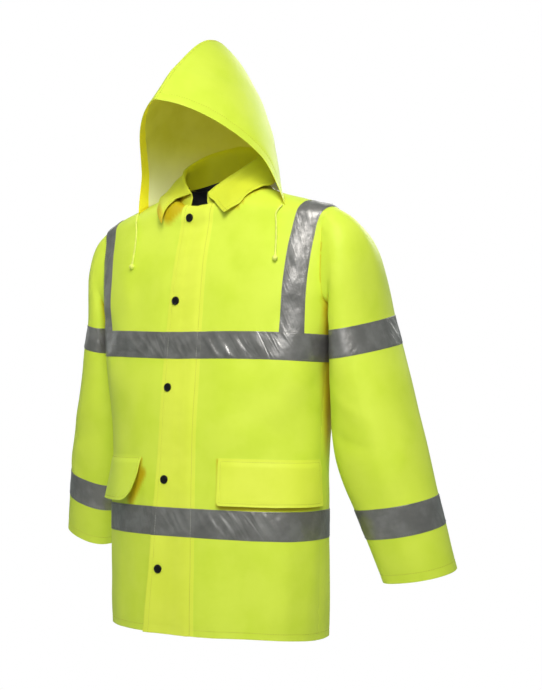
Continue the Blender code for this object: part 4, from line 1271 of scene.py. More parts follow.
def add_sleeve(name, side, start):
    """One sleeve from its armhole to the cuff. Its creases fade out at the armhole."""
    points = sleeve_points(start, *SLEEVE_SIDES[name])
    if side == 1:
        cloth = Cloth.through(points, ring=True)
    else:
        cloth = Cloth.through(mirrored(points), ring=True, centre_column=-2)
    down = cloth.down[:, :-1]
    height = creases(cloth, on_side(SLEEVE_CREASES, side), cloth.points[..., 2]) + waves(cloth, 70, 1.5, 9.0)
    height *= np.clip(down / CAP_SMOOTH, 0, 1)
    height += seam_dip(np.abs(down[-1:] - down - CUFF_STITCH), cloth.across[:, :-1], 0.5, 0.5)
    cloth = cloth.raised(height)
    facing, rests_on = facing_mask(cloth, CUFF_FACING), [f"front_{name}_cloth", "back_cloth"]
    sew(f"sleeve_{name}", cloth, 0, CLOTH, [OUTSIDE, LINING], facing)
    STITCHES.append((cloth, level_line(cloth, CUFF_STITCH, True), CLOTH))
    for band, *ends in (("upper", UPPER_TAPE_TOP, UPPER_TAPE_END), ("lower", LOWER_TAPE_TOP, LOWER_TAPE_END)):
        strip = cloth.part(*(len(CAP_ROWS) + SLEEVE_ROWS.index(end) for end in ends))
        add_tape(f"tape_sleeve_{band}_{name}", strip, CLOTH)


# ---- Tapes ----

TAPE_THICK = 0.35
TAPE_LIES, TAPE_LOWEST = 0.08, 0.06  # above the cloth at its edges, and above that inside them
TAPE_EDGE = 5  # how wide the strip along its edges is where it lies flat
TAPE_CREASE = 1.5  # times the heights in the tables of its creases
# The tapes' ripples, as size, height and seed, and how far the film stands off the cloth between them.
BAND_RIPPLES, BAND_RISE = ((17, 0.5, 2.0), (7, 0.15, 4.0)), 0.3
SHOULDER_RIPPLES, SHOULDER_RISE = ((17, 0.7, 2.0), (8, 0.3, 4.0)), 0.35


def add_tape(name, strip, lift, rows=(), runs_down=False):
    """A film on the cloth below it, with its own small creases and a line of stitches along both edges.
    The shoulder tapes run down the strip, and all the others across it."""
    strip = strip.denser(2)
    strip.across = strip.across - strip.across[:, :1]
    down = (strip.down - strip.down[:1])[:, : strip.points.shape[1]]
    if runs_down:
        surface, ripples, rise, edge_line = SHOULDER_TAPE, SHOULDER_RIPPLES, SHOULDER_RISE, upright_line
        edge = np.minimum(strip.across, strip.across[:, -1:] - strip.across)
    else:
        surface, ripples, rise, edge_line = TAPE, BAND_RIPPLES, BAND_RISE, level_line
        edge = np.minimum(down, down[-1:] - down)
    height = TAPE_CREASE * creases(strip, rows, -down) + rise
    height += sum(waves(strip, *ripple) for ripple in ripples)
    lift = upsampled(lift, 2) if np.ndim(lift) else lift
    lift = lift + np.maximum(height, TAPE_LOWEST) * eased(edge / TAPE_EDGE) + TAPE_LIES
    sew(name, strip, lift, lift + TAPE_THICK, [surface], slot="reflective_tape")
    top = strip.with_points(strip.lifted(lift + TAPE_THICK))
    for from_end in (False, True):
        TAPE_STITCHES.append((top, edge_line(strip, TAPE_STITCH, from_end), 0))


CHEST_TAPE_CREASES = (
    # across from the tape's start, level below its top edge, across, level, bow, half width, height
    (2, 4, 30, -40, 2, 3, 0.6),
    (8, 2, 50, -54, 4, 4, 1.6),
    (24, 2, 58, -40, -3, 3, 1.1),
    (30, -6, 74, -54, 3, 4, 1.4),
    (52, 2, 84, -36, -2, 4, 0.9),
    (62, -14, 96, -52, 3, 5, 0.7),
    (92, 2, 118, -30, 2, 6, 0.3),
    (100, -20, 140, -50, -3, 6, 0.4),
    (130, 2, 150, -24, 2, 5, 0.3),
    (186, 2, 210, -46, -3, 5, 0.8),
    (420, 4, 450, -50, -3, 7, 1.0),
    (520, 4, 550, -50, 3, 7, 0.9),
    (700, 4, 660, -50, 3, 7, 1.0),
    (1012, 2, 1056, -52, 3, 4, 1.3),
    (1034, 2, 1074, -48, -3, 4, 1.5),
    (1060, 2, 1096, -52, 3, 4, 1.4),
    (1080, 2, 1106, -34, -2, 3, 0.9),
    (1094, -10, 1122, -52, 2, 4, 1.2),
    (1116, 2, 1140, -46, -2, 4, 0.9),
)
HEM_TAPE_CREASES = (
    (4, 2, 34, -44, 3, 4, 0.8),
    (22, 2, 60, -50, 3, 4, 1.2),
    (42, -4, 76, -50, -3, 3, 1.1),
    (60, 2, 80, -26, -2, 3, 0.7),
    (104, 2, 136, -46, 3, 4, 0.9),
    (118, 2, 152, -50, -3, 4, 1.1),
    (146, -8, 170, -46, 2, 3, 0.7),
    (400, 4, 430, -50, -3, 7, 1.0),
    (620, 4, 650, -50, 3, 7, 0.9),
    (1020, 2, 1060, -50, 3, 4, 0.9),
    (1070, 2, 1096, -46, -3, 4, 0.8),
)
PLACKET_TAPE_CREASES = (
    (6, 2, 30, -40, 2, 3, 0.9),
    (14, 2, 46, -52, 2, 3, 1.2),
    (28, -4, 58, -50, -2, 3, 1.0),
    (40, 2, 68, -44, 2, 3, 1.1),
    (54, 2, 76, -34, -2, 3, 0.7),
)
SHOULDER_TAPE_CREASES = (
    # across the tape, level below the shoulder seam, across, level, bow, half width, height
    (0, -8, 44, -30, 3, 4, 1.0),
    (46, -6, 6, -34, 3, 4, 0.9),
    (40, -40, 10, -62, -3, 4, 0.7),
    (4, -92, 36, -116, 3, 5, 1.0),
    (38, -104, 8, -138, -4, 5, 1.1),
    (6, -132, 30, -168, 4, 6, 1.3),
    (34, -140, 14, -196, -4, 5, 1.2),
    (8, -172, 30, -210, 4, 5, 1.1),
    (30, -190, 16, -232, 2, 4, 0.9),
    (10, 30, 40, 60, 3, 6, 0.8),
    (36, 110, 10, 150, 3, 6, 0.9),
)


def add_body_tapes(front_left, front_right, back):
    """The chest and hem tapes from the placket's seam round to its free edge, and the two shoulder tapes."""
    edge = column_of("placket")
    for name, first, last, table in (
        ("tape_chest", CHEST_TAPE_TOP, CHEST_TAPE_END, CHEST_TAPE_CREASES),
        ("tape_hem", HEM_TAPE_TOP, HEM_TAPE_END, HEM_TAPE_CREASES),
    ):
        rows = row_of(first), row_of(last)
        right = front_right.part(*rows, 0, front_right.last - edge)
        band = beside(front_left.part(*rows, edge, -1), back.part(*rows), right)
        add_tape(name, band, CLOTH, table)
    inner, outer = column_of("tape_in"), column_of("tape_out")
    middle, last = back.last // 2, front_right.last
    end = row_of(CHEST_TAPE_TOP)
    for side, front, front_columns, back_columns in (
        ("left", front_left, (inner, outer), (middle - outer, middle - inner)),
        ("right", front_right, (last - outer, last - inner), (middle + inner, middle + outer)),
    ):
        strip, seam = shoulder_strip(front.part(0, end, *front_columns), back.part(0, end, *back_columns))
        rows = [(x0, -seam - z0, x1, -seam - z1, *rest) for x0, z0, x1, z1, *rest in SHOULDER_TAPE_CREASES]
        add_tape(f"tape_shoulder_{side}", strip, CLOTH, rows, True)


def shoulder_strip(front, back):
    """A band up the back, over the shoulder seam and down the front, and how far along it the seam lies."""
    width = min(front.points.shape[1], back.points.shape[1])

    def even(grid):
        columns = np.linspace(0, grid.shape[1] - 1, width)
        return between(grid, *np.meshgrid(np.arange(len(grid)), columns, indexing="ij"))

    points = np.concatenate([even(back.points)[::-1, ::-1], even(front.points)[1:]])
    normals = np.concatenate([even(back.normals)[::-1, ::-1], even(front.normals)[1:]])
    ridge = len(back.points) - 1
    normals[ridge] = unit(even(front.normals)[0] + normals[ridge])
    across, down = distances(points, 1), distances(points, 0)
    strip = Cloth(points, unit(normals), False, across, down, [0, len(points) - 1], [0, width - 1])
    return strip, down[ridge].mean()


# ---- Placket and snaps ----

# The free edge swings out to the wearer's right below a height, by more and more down to the hem.
SWING, SWING_WIDTH, SWING_TOP, SWING_LENGTH = 11, 22, -480, 280
# It also lifts off the fronts lower down: by how much, how near the edge, and from which height to which.
EDGE_LIFT, EDGE_LIFT_WIDTH, EDGE_LIFT_TOP, EDGE_LIFT_FULL = 6, 16, -400, -600
PLACKET_SEAM_WIDTH = 16  # towards its seam the placket comes down to the cloth within this width
PLACKET_SEAM_LIFT, PLACKET_SEAM_PLY = CLOTH - 0.35, 0.4  # at the seam itself


def placket_strip(front_left, front_right):
    """The placket's cloth on the fronts, from its free edge to its seam."""
    count = column_of("placket")
    right = front_right.part(0, -1, front_right.last - count, -1)
    strip = beside(right, front_left.part(0, -1, 0, count))
    strip.across = strip.across - strip.across[:, :1]
    near_edge = np.clip(1 - strip.across / SWING_WIDTH, 0, 1)
    low = np.clip((SWING_TOP - strip.points[..., 2]) / SWING_LENGTH, 0, 1)
    strip.points[..., 0] -= SWING * near_edge * low**1.5
    return strip


def placket_height(strip):
    """The placket lies flat, and its free edge lifts towards the hem. Both its seams pucker."""
    low = eased((EDGE_LIFT_TOP - strip.points[..., 2]) / (EDGE_LIFT_TOP - EDGE_LIFT_FULL))
    lift = CLOTH + GAP + EDGE_LIFT * low * np.exp(-((strip.across / EDGE_LIFT_WIDTH) ** 2))
    from_seam = strip.across[:, -1:] - strip.across
    lift += seam_dip(np.abs(from_seam - PLACKET_STITCH), strip.down, 0.8, 0.7)
    return lift + seam_dip(np.abs(strip.across - PLACKET_STITCH), strip.down, 0.3, 0.3) + 0.5


def add_placket(front_left, front_right):
    """The storm flap with its seams and the pieces of tape that cross it."""
    strip = placket_strip(front_left, front_right)
    blend = eased((strip.across[:, -1:] - strip.across) / PLACKET_SEAM_WIDTH)
    lift = PLACKET_SEAM_LIFT + (placket_height(strip) - PLACKET_SEAM_LIFT) * blend
    above = lift + PLACKET_SEAM_PLY + (PLACKET_PLY - PLACKET_SEAM_PLY) * blend
    piece = sew("placket", strip, lift, above, [LIT_CLOTH])
    top = strip.with_points(strip.lifted(above))
    PLACKET_STITCHES.append((top, upright_line(strip, PLACKET_STITCH, True), 0))
    STITCHES.append((top, upright_line(strip, PLACKET_STITCH), 0))
    for name, first, last in (
        ("tape_chest_placket", CHEST_TAPE_TOP, CHEST_TAPE_END),
        ("tape_hem_placket", HEM_TAPE_TOP, HEM_TAPE_END),
    ):
        rows = row_of(first), row_of(last)
        start, end = (strip.rows_at[row] for row in rows)
        band = strip.part(*rows)
        add_tape(name, band, above[start : end + 1], PLACKET_TAPE_CREASES)
        for from_end in (False, True):
            line = upright_line(band, PLACKET_STITCH, from_end)
            PALE_STITCHES.append((top.part(*rows), line, PALE_STITCH_LIFT))
    return piece


def mesh_tree(pieces):
    """All the faces of some pieces, to find where a line meets them."""
    vertices, faces = [], []
    for piece in pieces:
        start = len(vertices)
        vertices += [v.co.copy() for v in piece.data.vertices]
        faces += [tuple(start + k for k in p.vertices) for p in piece.data.polygons]
    return BVHTree.FromPolygons(vertices, faces)


def turned(name, profile, foot, way, sides, surface):
    """A round piece from radii and heights, standing on a foot. Its two ends are closed."""
    turn = Vector((0, 0, 1)).rotation_difference(Vector(way))
    vertices, faces = [], []
    for radius, height in profile:
        for k in range(sides):
            angle = 2 * math.pi * k / sides
            spoke = Vector((radius * math.cos(angle), radius * math.sin(angle), height))
            vertices.append(foot + np.array(turn @ spoke))
    for i in range(len(profile) - 1):
        for k in range(sides):
            a, b = i * sides + k, i * sides + (k + 1) % sides
            faces.append((a, b, b + sides, a + sides))
    faces.append(tuple(reversed(range(sides))))
    faces.append(tuple(range((len(profile) - 1) * sides, len(profile) * sides)))
    return solid(name, vertices, faces, [surface])


SNAP_SIDES = 48
# A rolled rim, a groove inside it and a low dome in the middle, as shares of a cap's radius and height.
SNAP_PROFILE = (
    (0.90, -1 / 6), (0.97, 0.1), (1, 0.3), (0.985, 0.55), (0.94, 0.78), (0.88, 0.92), (0.81, 0.96),
    (0.74, 0.9), (0.69, 0.76), (0.64, 0.7), (0.55, 0.74), (0.4, 0.8), (0.22, 0.84), (0.06, 0.85),
)


def add_snaps(placket):
    """Pressed caps, seated where a line from the front meets the placket."""
    tree = mesh_tree([placket])
    profile = [(SNAP_RADIUS * radius, SNAP_HEIGHT * height) for radius, height in SNAP_PROFILE]
    for k, (x, z) in enumerate(SNAPS, 1):
        place, normal = tree.ray_cast(Vector((x * MM, -1, z * MM)), Vector((0, 1, 0)))[:2]
        way = normal if normal.y < 0 else -normal
        piece = turned(f"snap_{k}_cap", profile, np.array(place) / MM, way, SNAP_SIDES, SNAP)
        dress(piece, "black_snap", f"snap_{k}")


# ---- Pocket flaps ----

FLAP_SIDES = {
    # the front lower corner's radius, how far it and the rear corner stand off, the height of the lower
    # edge's waves and how far the front edge lifts
    "left": (6, 6, 5, 1.3, 0),
    "right": (34, 22, 4, 0.8, 3),
}
FLAP_ROWS, FLAP_COLUMNS = 30, 64
FLAP_LINE_STEPS = 60  # along each side's line of stitches
FLAP_WAVE, FLAP_FRONT_WIDTH = 17, 14  # the waves' length in radians, and how wide the lifted front edge is
FLAP_OVER = GAP + 0.5  # from the cloth to the flap near its seam
FLAP_SEAM_WIDTH = 14  # towards its seam a flap comes down to the cloth within this width
FLAP_SEAM_LIFT, FLAP_SEAM_PLY = CLOTH - 0.4, 0.45  # at the seam itself


def add_pocket_flaps(front_left, front_right):
    first = column_of("pocket")
    rows = row_of(FLAP_TOP), row_of(FLAP_END)
    # The left flap takes the lighter copy of the cloth, painted light.
    add_pocket_flap("left", front_left.part(*rows, first, -1), LIT_CLOTH)
    add_pocket_flap("right", front_right.part(*rows, 0, front_right.last - first), OUTSIDE)


def add_pocket_flap(name, base, surface):
    """A flap that is sewn on along its top, with a rounded front corner. It stands off more lower down."""
    radius, corner, end, wave, front_lift = FLAP_SIDES[name]
    width, height = np.ptp(base.across, axis=1).mean(), np.ptp(base.down, axis=0).mean()
    share, along = np.meshgrid(np.linspace(0, 1, FLAP_ROWS), np.linspace(0, 1, FLAP_COLUMNS), indexing="ij")
    from_front = along if name == "left" else 1 - along
    inward = np.clip(1 - from_front * width / radius, 0, 1)
    share = share * (1 - (1 - np.sqrt(1 - inward**2)) * radius / height)
    cloth = base.sampled(share * (base.points.shape[0] - 1), along * (base.points.shape[1] - 1))
    lift = CLOTH + FLAP_OVER + share**1.3 * (corner + (end - corner) * from_front)
    lift += wave * share**2 * np.sin(from_front * width / FLAP_WAVE + 0.6)
    lift += front_lift * share * np.exp(-((from_front * width / FLAP_FRONT_WIDTH) ** 2))
    edges = np.minimum(np.minimum(from_front, 1 - from_front) * width, (1 - share) * height)
    lift += seam_dip(np.abs(edges - FLAP_STITCH), cloth.across + cloth.down, 0.35, 0.3)
    blend = eased(share * height / FLAP_SEAM_WIDTH)
    lift = FLAP_SEAM_LIFT + (lift - FLAP_SEAM_LIFT) * blend
    above = lift + FLAP_SEAM_PLY + (FLAP_PLY * 0.8 - FLAP_SEAM_PLY) * blend
    sew(f"pocket_flap_{name}", cloth, lift, above, [surface])
    top = cloth.with_points(cloth.lifted(above))
    rows, columns = FLAP_ROWS - 1, FLAP_COLUMNS - 1
    a, b = rows * FLAP_STITCH / height, columns * FLAP_STITCH / width
    down, across = np.linspace(a, rows - a, FLAP_LINE_STEPS), np.linspace(b, columns - b, FLAP_LINE_STEPS)
    for line in ((down, b), (rows - a, across), (down[::-1], columns - b), (a, across[::-1])):
        STITCHES.append((top, line_of(*line), 0))


# ---- Collar, hood and lining ----

COLLAR_STEPS = 16  # from an end to the nape
LEAF_ENDS_LIFT = ((0, 3), (-1, 9))  # how far the leaf's ends stand off, by the column that they are at
LEAF_ENDS_REACH = 70
LEAF_WIDER, LEAF_WIDER_STEPS = 4, 9  # at its widest, and over how many columns from the near end
LEAF_WIDER_SHARES = ((6, 0.3), (7, 0.65), (8, 1))  # by point of the path
NEAR_TIP = ((0, (5, -4, 0)), (1, (2, -2, 0)))  # how the leaf's near edge moves, by column from its end
# The far edge moves this way, with a share for each of its last columns.
FAR_TIP, FAR_TIP_SHARES = (4, -3, -12), ((-1, 1), (-2, 0.55), (-3, 0.2))
# The far end is rolled back: each of its points moves this far towards the next column's.
FAR_ROLL = ((4, 0.1), (5, 0.45), (6, 1.0), (7, 0.85))
LEAF_EDGE = 8  # the path's last point
LEAF_REST = COLLAR_PLY * 3.4  # the leaf stays this far above the hood's rest on the shoulders
SEAM_MOVES = 4.5, 1.5  # the collar's seam edge, down along the stand and inwards
# Inside the neck the lining reaches this far up the stand, and further towards the wearer's left.
LINED_UP, LINED_MORE, LINED_FROM_X, LINED_OVER = 8, 9, -30, 60


def collar_points(tree):
    """The collar's own points, with the near leaf a little wider and the far leaf's end rolled back."""
    turns = np.linspace(COLLAR[0][0], 180, COLLAR_STEPS + 1)
    left = np.array([collar_column(turn) for turn in turns])
    columns = np.concatenate([left, left[-2::-1] * FLIP])
    for column, move in NEAR_TIP:
        columns[column][LEAF_EDGE] += move
    for k in range(1, LEAF_WIDER_STEPS):
        for point, share in LEAF_WIDER_SHARES:
            way = unit(columns[k][LEAF_EDGE] - columns[k][5])
            columns[k][point] += way * LEAF_WIDER * share * math.sin(math.pi * k / LEAF_WIDER_STEPS)
    for point, share in FAR_ROLL:
        columns[-1][point] += (columns[-2][point] - columns[-1][point]) * share
    for column, share in FAR_TIP_SHARES:
        columns[column][LEAF_EDGE] += np.array(FAR_TIP) * share
    for column in columns:
        for point in column[COLLAR_LEAF_START:]:
            point[2] = max(point[2], resting(tree, point[0], point[1])[2] + LEAF_REST)
        down, inwards = unit(column[0] - column[1]), -unit(column[0] * np.array([1, 1, 0]))
        column[0] += down * SEAM_MOVES[0] + inwards * SEAM_MOVES[1]
    return columns.transpose(1, 0, 2)


def add_collar(tree):
    """The collar, folded over. Inside the neck the lining covers it low down, and its stand shows above."""
    cloth = Cloth.through(collar_points(tree), centre_column=COLLAR_STEPS)
    leaf_down = cloth.down - cloth.down[cloth.rows_at[COLLAR_LEAF_START]]
    reach = np.clip(leaf_down / leaf_down[-1:], 0, 1)
    for end_column, lift in LEAF_ENDS_LIFT:
        from_end = np.abs(cloth.across - cloth.across[:, [end_column]])
        cloth = cloth.with_points(cloth.lifted(lift * reach**1.5 * eased(1 - from_end / LEAF_ENDS_REACH)))
    from_edge = cloth.down[-1:] - cloth.down
    height = waves(cloth, 30, 0.8, 8.0) + seam_dip(from_edge - COLLAR_STITCH, cloth.across, 0.4, 0.4)
    cloth = cloth.raised(height)
    half = COLLAR_PLY / 2
    grids = cloth.down, cloth.points[..., 0], cloth.points[..., 1]
    up, x, y = ((grid[:-1, :-1] + grid[1:, 1:]) / 2 for grid in grids)
    to_crown = np.arange(len(up))[:, None] < cloth.rows_at[COLLAR_CROWN]
    lined_to = LINED_UP + LINED_MORE * np.clip((x - LINED_FROM_X) / LINED_OVER, 0, 1)
    lined = (up < lined_to) & (y > LINING_FRONT_Y)
    outside = np.where(lined, 1, np.where(to_crown, 2, 0))
    inside, looks = np.where(lined, 1, 0), [SHADED_LEAF, LINING, SHADED_STAND]
    sew("collar", cloth, -half, half, looks, inside, outside)
    leaf = cloth.part(COLLAR_LEAF_START, -1)
    STITCHES.append((leaf, level_line(leaf, COLLAR_STITCH, True), half))
    for from_end in (False, True):
        STITCHES.append((leaf, upright_line(leaf, COLLAR_STITCH, from_end), half))


HOOD_CREASES = (
    # distance from the opening, height, distance, height, bow, half width, height out
    (4, 150, 26, 120, 3, 7, 0.9),
    (4, 190, 30, 178, 3, 8, 0.8),
    (60, 90, 150, 150, 10, 16, 1.6),
    (90, 70, 170, 100, -8, 14, -1.4),
    (50, 230, 120, 180, 8, 16, 1.2),
    (150, 210, 210, 120, -10, 18, 1.5),
)
HOOD_CORNERS = {"left": (171, -57, -26), "right": (-144, -56, -20)}  # where the cords come out
CORNER_REACH = 75  # how much of the hood is drawn after its corner
CORNER_REST = 1.6  # the drawn corner stays this far above the chest's cloth
FOOT_PRESSED, FOOT_WIDTH = 1.2, 25  # how far the foot is pressed down, and the height where that ends


def hood_on_chest(tree, cloth, corner, column):
    """Draws the hood's front corner forward and down, on to the chest."""
    above = cloth.down[-1:] - cloth.down
    share = eased(1 - np.abs(cloth.across) / CORNER_REACH) * eased(1 - above / CORNER_REACH)
    points = cloth.points + share[..., None] * (np.array(corner) - cloth.points[-1, column])
    for i, j in zip(*np.nonzero(share > 0.005)):
        x, y, z = points[i, j]
        points[i, j, 2] = max(z, resting(tree, x, y)[2] - HOOD_REST + CORNER_REST)
    points[..., 2] -= FOOT_PRESSED * eased(1 - above / FOOT_WIDTH)
    return cloth.with_points(points)


def add_hood(tree):
    add_hood_half("left", 1, tree)
    add_hood_half("right", -1, tree)


def add_hood_half(name, side, tree):
    """Half of the hood. Its coating shows inside, and the turned front hem inside the opening."""
    points = hood_points(tree, side).transpose(1, 0, 2)[::-1]
    opening = 0 if side == 1 else -1
    cloth = Cloth.through(points if side == 1 else mirrored(points), centre_column=opening)
    cloth, cut = with_even_edge(cloth, HOOD_FACING, side == -1)
    reach = np.abs(cloth.across)
    inside = np.ones((cloth.points.shape[0] - 1, cloth.points.shape[1] - 1), int)
    inside[:, slice(-cut, None) if side == -1 else slice(0, cut)] = 2
    cloth = hood_on_chest(tree, cloth, HOOD_CORNERS[name], opening)
    height = creases(cloth, on_side(HOOD_CREASES, side), cloth.points[..., 2]) + waves(cloth, 80, 1.6, 5.0)
    height += seam_dip(np.abs(reach - HOOD_FACING), cloth.down, 0.6, 0.6)
    height += seam_dip(cloth.down - cloth.down[:1], cloth.across, 0.7, 0.4)
    cloth = cloth.raised(height * eased((cloth.down[-1:] - cloth.down) / FOOT_WIDTH))
    sew(f"hood_{name}", cloth, 0, CLOTH, [OUTSIDE, COATING, PAINTED_HEM_CLOTH], inside)
    STITCHES.append((cloth, upright_line(cloth, HOOD_FACING, side == -1), CLOTH))
    STITCHES.append((cloth, level_line(cloth, HOOD_SEAM_STITCH), CLOTH))


def add_neck_lining(back):
    """The lining inside the back of the neck, a little wider than the neck's opening."""
    reach = column_of("pocket") + 2
    middle = back.last // 2
    strip = back.part(0, row_of(PANEL_ROWS[1]), middle - reach, middle + reach)
    low, high = -LINING_OFF - LINING_PLY, -LINING_OFF
    sew("neck_lining", strip, low, high, [LINING], slot="dark_lining")


# ---- Cords ----

CORD_THICK, CORD_BALL = 3.2, 4.8
CORD_STEPS = 40
STOP_SIDES, BALL_STEPS = 24, 12
# In the scene the cords start where the hood's drawn corners are, in place of the first two of their points.
CORD_STARTS = {"cord_left": ((170, -28), (162.5, -41)), "cord_right": ((-143, -21), (-137, -38))}


def add_cord(name, route):
    """A cord's free end along a smooth line through its points, with its stop."""
    keys = distances(route, 0)
    length = keys[-1]
    table = np.column_stack([keys, route])
    path = [spline(table, 0, length * k / CORD_STEPS)[1:] for k in range(CORD_STEPS + 1)]
    curve = bpy.data.curves.new(f"{name}_line", "CURVE")
    curve.dimensions = "3D"
    curve.bevel_depth = CORD_THICK / 2 * MM
    curve.bevel_resolution = 3
    curve.use_fill_caps = True
    line = curve.splines.new("POLY")
    line.points.add(CORD_STEPS)
    for point, at in zip(line.points, path):
        point.co = (*(at * MM), 1)
    curve.materials.append(CORD)
    made = link(f"{name}_line", curve)
    stop = add_cord_stop(f"{name}_stop", path[-1], unit(path[-1] - path[-6]))
    dress(made, "cord", name)
    dress(stop, "cord")


def add_cord_stop(name, end, way):
    """A turned stop at the cord's end: a short neck and a ball."""
    r, neck = CORD_BALL, CORD_THICK / 2 * 1.25
    profile = [(neck * 0.8, -3.1 * r), (neck, -2.9 * r), (neck, -2.2 * r)]
    angles = np.linspace(0.45, math.pi - 0.1, BALL_STEPS)
    profile += [(r * math.sin(angle), -r - r * math.cos(angle)) for angle in angles]
    return turned(name, profile, end, way, STOP_SIDES, CORD)


# ---- Painted shade where pieces meet ----

CONTACT_REACH, CONTACT_RAYS = 42, 14  # how far a point looks for other cloth, and in how many directions
CONTACT_START = 0.9  # above the cloth, so that a ray doesn't meet its own face
CONTACT_FROM, CONTACT_FULL = 0.2, 0.7  # how closed in the cloth is where the shade starts and is full
CONTACT_MOST, DEEP_MOST = 0.9, 0.95
GOLDEN_ANGLE = 2.39996

# Painted shade, listed in a table. The lines are fixed on the cloth, but their places were chosen for how
# they
# look in the main view: from the front they lie beside the edges and not under them.
PAINTED_DEEP_SHADES = (
    # a piece, a line of x and z on it, how far from the line the shade is full, and its fade
    ("front_right_cloth", (-38, -14), (-60, -31), 9, 12),
    ("collar_cloth", (-86, -16), (-62, -50), 5, 6),
    ("front_right_cloth", (-80, -486), (-110, -534), 5, 9),
    ("front_left_cloth", (88, -534), (206, -536), 3, 8),
)


def painted_deep_shade(name, points):
    """The listed painted shade at the far leaf's rolled end and along the pocket flaps' free edges."""
    shade = np.zeros(len(points))
    for piece, start, end, full, fade in PAINTED_DEEP_SHADES:
        if piece != name:
            continue
        run = np.subtract(end, start)
        away = points[:, [0, 2]] / MM - start
        share = np.clip(away @ run / (run @ run), 0, 1)
        distance = np.linalg.norm(away - share[:, None] * run, axis=1)
        shade = np.maximum(shade, DEEP_MOST * eased((full + fade - distance) / fade))
    return shade


def vertex_vectors(items, key):
    """A vector of each vertex of a mesh, as rows."""
    values = np.empty(len(items) * 3, np.float32)
    items.foreach_get(key, values)
    return values.reshape(-1, 3)


def paint_closed_in_shade(pieces):
    """Paints shade: marks how far each point of these pieces is closed in by cloth nearby, as a painted shade
    that the cloth's material reads, with the listed deep shade added.
    """
    tree = mesh_tree(pieces)
    turns = np.arange(CONTACT_RAYS) * GOLDEN_ANGLE
    out = np.sqrt((np.arange(CONTACT_RAYS) + 0.5) / CONTACT_RAYS)
    spokes = np.column_stack([out * np.cos(turns), out * np.sin(turns), np.sqrt(1 - out**2)])
    reach = CONTACT_REACH * MM
    for piece in pieces:
        mesh = piece.data
        points = vertex_vectors(mesh.vertices, "co")
        normals = vertex_vectors(mesh.vertex_normals, "vector")
        other = np.where(np.abs(normals[:, 2:]) < 0.9, [[0, 0, 1]], [[1, 0, 0]])
        side = unit(np.cross(normals, other))
        third = np.cross(normals, side)
        starts = points + normals * CONTACT_START * MM
        closed_in = np.zeros(len(points))
        for spoke in spokes:
            ways = side * spoke[0] + third * spoke[1] + normals * spoke[2]
            for k, (start, way) in enumerate(zip(starts, ways)):
                distance = tree.ray_cast(Vector(start), Vector(way), reach)[3]
                if distance is not None:
                    closed_in[k] += 1 - distance / reach
        closed_in /= CONTACT_RAYS
        shade = eased((closed_in - CONTACT_FROM) / (CONTACT_FULL - CONTACT_FROM)) * CONTACT_MOST
        shade = np.maximum(shade, painted_deep_shade(piece.name, points))
        mesh.attributes.new("painted_shade", "FLOAT", "POINT").data.foreach_set("value", shade.astype(np.float32))


# ---- The studio ----

CAMERA_PLACE = (1.3192, -1.8840, -0.333)
CAMERA_TILT, CAMERA_TURN = 91.793, 32.759
FOCAL_PIXELS = 1277.78
FLOOR_Z = -1.45  # the shoulders of someone who wears it are this high


def add_camera():
    data = bpy.data.cameras.new("camera")
    data.sensor_width = 36
    data.lens = data.sensor_width * FOCAL_PIXELS / max(IMAGE_WIDTH, IMAGE_HEIGHT)
    made = link("camera", data)
    made.location = CAMERA_PLACE
    made.rotation_euler = (math.radians(CAMERA_TILT), 0, math.radians(CAMERA_TURN))
    bpy.context.scene.camera = made


def add_light(name, place, aim, size, power, colour, spread):
    data = bpy.data.lights.new(name, "AREA")
    data.shape = "RECTANGLE"
    data.size, data.size_y = size
    data.energy = power
    data.spread = math.radians(spread)
    data.color = colour
    made = link(name, data)
    made.location = place
    made.rotation_euler = (Vector(aim) - Vector(place)).to_track_quat("-Z", "Y").to_euler()


FLOOR_RADIUS, FLOOR_SIDES = 2.2, 96
FLOOR_LOOK = {
    "Base Color": (0.86, 0.86, 0.86),
    "Roughness": 0.9,
    "Emission Color": (1, 1, 1),
    "Emission Strength": 0.2,
}
ROOM_LIGHT = (0.215, 0.25, 0.235)
WHITE = (1, 1, 1)
LIGHTS = (
    # name, place, aim, size, power, colour and spread
    ("key", (1.16, -1.58, 1.34), (0.05, -0.05, -0.21), (1.3, 1.3), 6.5, (1, 0.98, 0.93), 50),
    ("front", (1.08, -2.15, 0.38), (0.1, 0, -0.3), (0.9, 0.9), 7.5, WHITE, 180),
    ("left_front", (-1.05, -2.2, 0.1), (-0.1, -0.1, -0.3), (0.3, 0.3), 0.3, WHITE, 180),
    ("left_side", (-2.2, 0.1, 0.05), (-0.1, 0, -0.3), (0.3, 0.5), 0.7, WHITE, 180),
    ("left_top", (-1.5, -0.25, 1.5), (-0.3, 0, -0.1), (0.4, 0.4), 0.8, WHITE, 60),
    ("back", (-0.1, 2.3, 1.0), (0, 0.1, -0.25), (1.4, 1.4), 5.5, (1, 0.99, 0.96), 70),
    ("back_left", (-1.7, 1.9, 0.4), (0, 0.1, -0.25), (1.0, 1.0), 1.4, WHITE, 70),
)


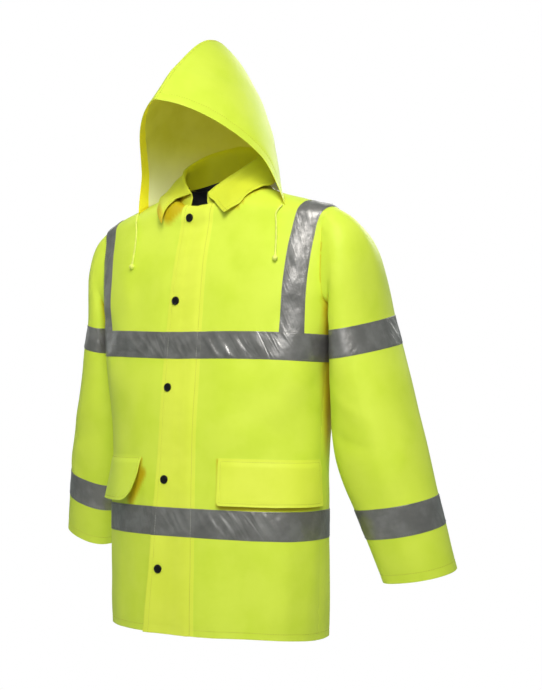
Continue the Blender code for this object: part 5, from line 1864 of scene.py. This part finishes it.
def add_studio():
    """A white room that lights the jacket softly, a key light high at the front and a wide fill."""
    scene = bpy.context.scene
    scene.world = bpy.data.worlds.new("studio")
    scene.world.use_nodes = True
    tree = scene.world.node_tree
    light = tree.nodes["Background"]
    connect(tree, light.inputs["Color"], ROOM_LIGHT)
    backdrop = node(tree, "ShaderNodeBackground", {"Color": WHITE})
    seen = node(tree, "ShaderNodeLightPath").outputs["Is Camera Ray"]
    choice = node(tree, "ShaderNodeMixShader", enumerate((seen, light.outputs[0], backdrop.outputs[0])))
    connect(tree, tree.nodes["World Output"].inputs["Surface"], choice.outputs[0])
    scene.view_settings.view_transform = "Standard"
    turns = np.arange(FLOOR_SIDES) * 2 * math.pi / FLOOR_SIDES
    rim = np.column_stack([np.cos(turns), np.sin(turns), np.full(FLOOR_SIDES, FLOOR_Z / FLOOR_RADIUS)])
    look = shaded(new_material("floor")[0], FLOOR_LOOK)
    solid("floor", rim * FLOOR_RADIUS / MM, [tuple(range(FLOOR_SIDES))], [look])
    for row in LIGHTS:
        add_light(*row)


# ---- All of it ----


def main():
    coarse = body_cloth()
    tree = panel_tree(coarse)
    add_camera()
    add_studio()
    for name, route in CORDS.items():
        add_cord(name, np.array([hanging(tree, x, z) for x, z in CORD_STARTS[name] + route[2:]]))
    panels = dip_panels(body_panels(*coarse))
    front_left, front_right, back = panels
    add_panels(*panels)
    add_neck_lining(back)
    placket = add_placket(front_left, front_right)
    add_snaps(placket)
    add_pocket_flaps(front_left, front_right)
    add_body_tapes(*panels)
    add_sleeves(*coarse)
    add_collar(tree)
    add_hood(tree)
    add_stitches("hi_vis_stitches", STITCHES, "hi_vis_cloth", THREAD)
    add_stitches("placket_stitches", PLACKET_STITCHES, "hi_vis_cloth", SHADED_THREAD)
    add_stitches("tape_stitches", TAPE_STITCHES, "reflective_tape", GREY_THREAD)
    add_stitches("pale_stitches", PALE_STITCHES, "reflective_tape", PALE_THREAD)
    paint_closed_in_shade([p for p in bpy.data.objects if p.name.endswith("_cloth") and p != placket])


main()
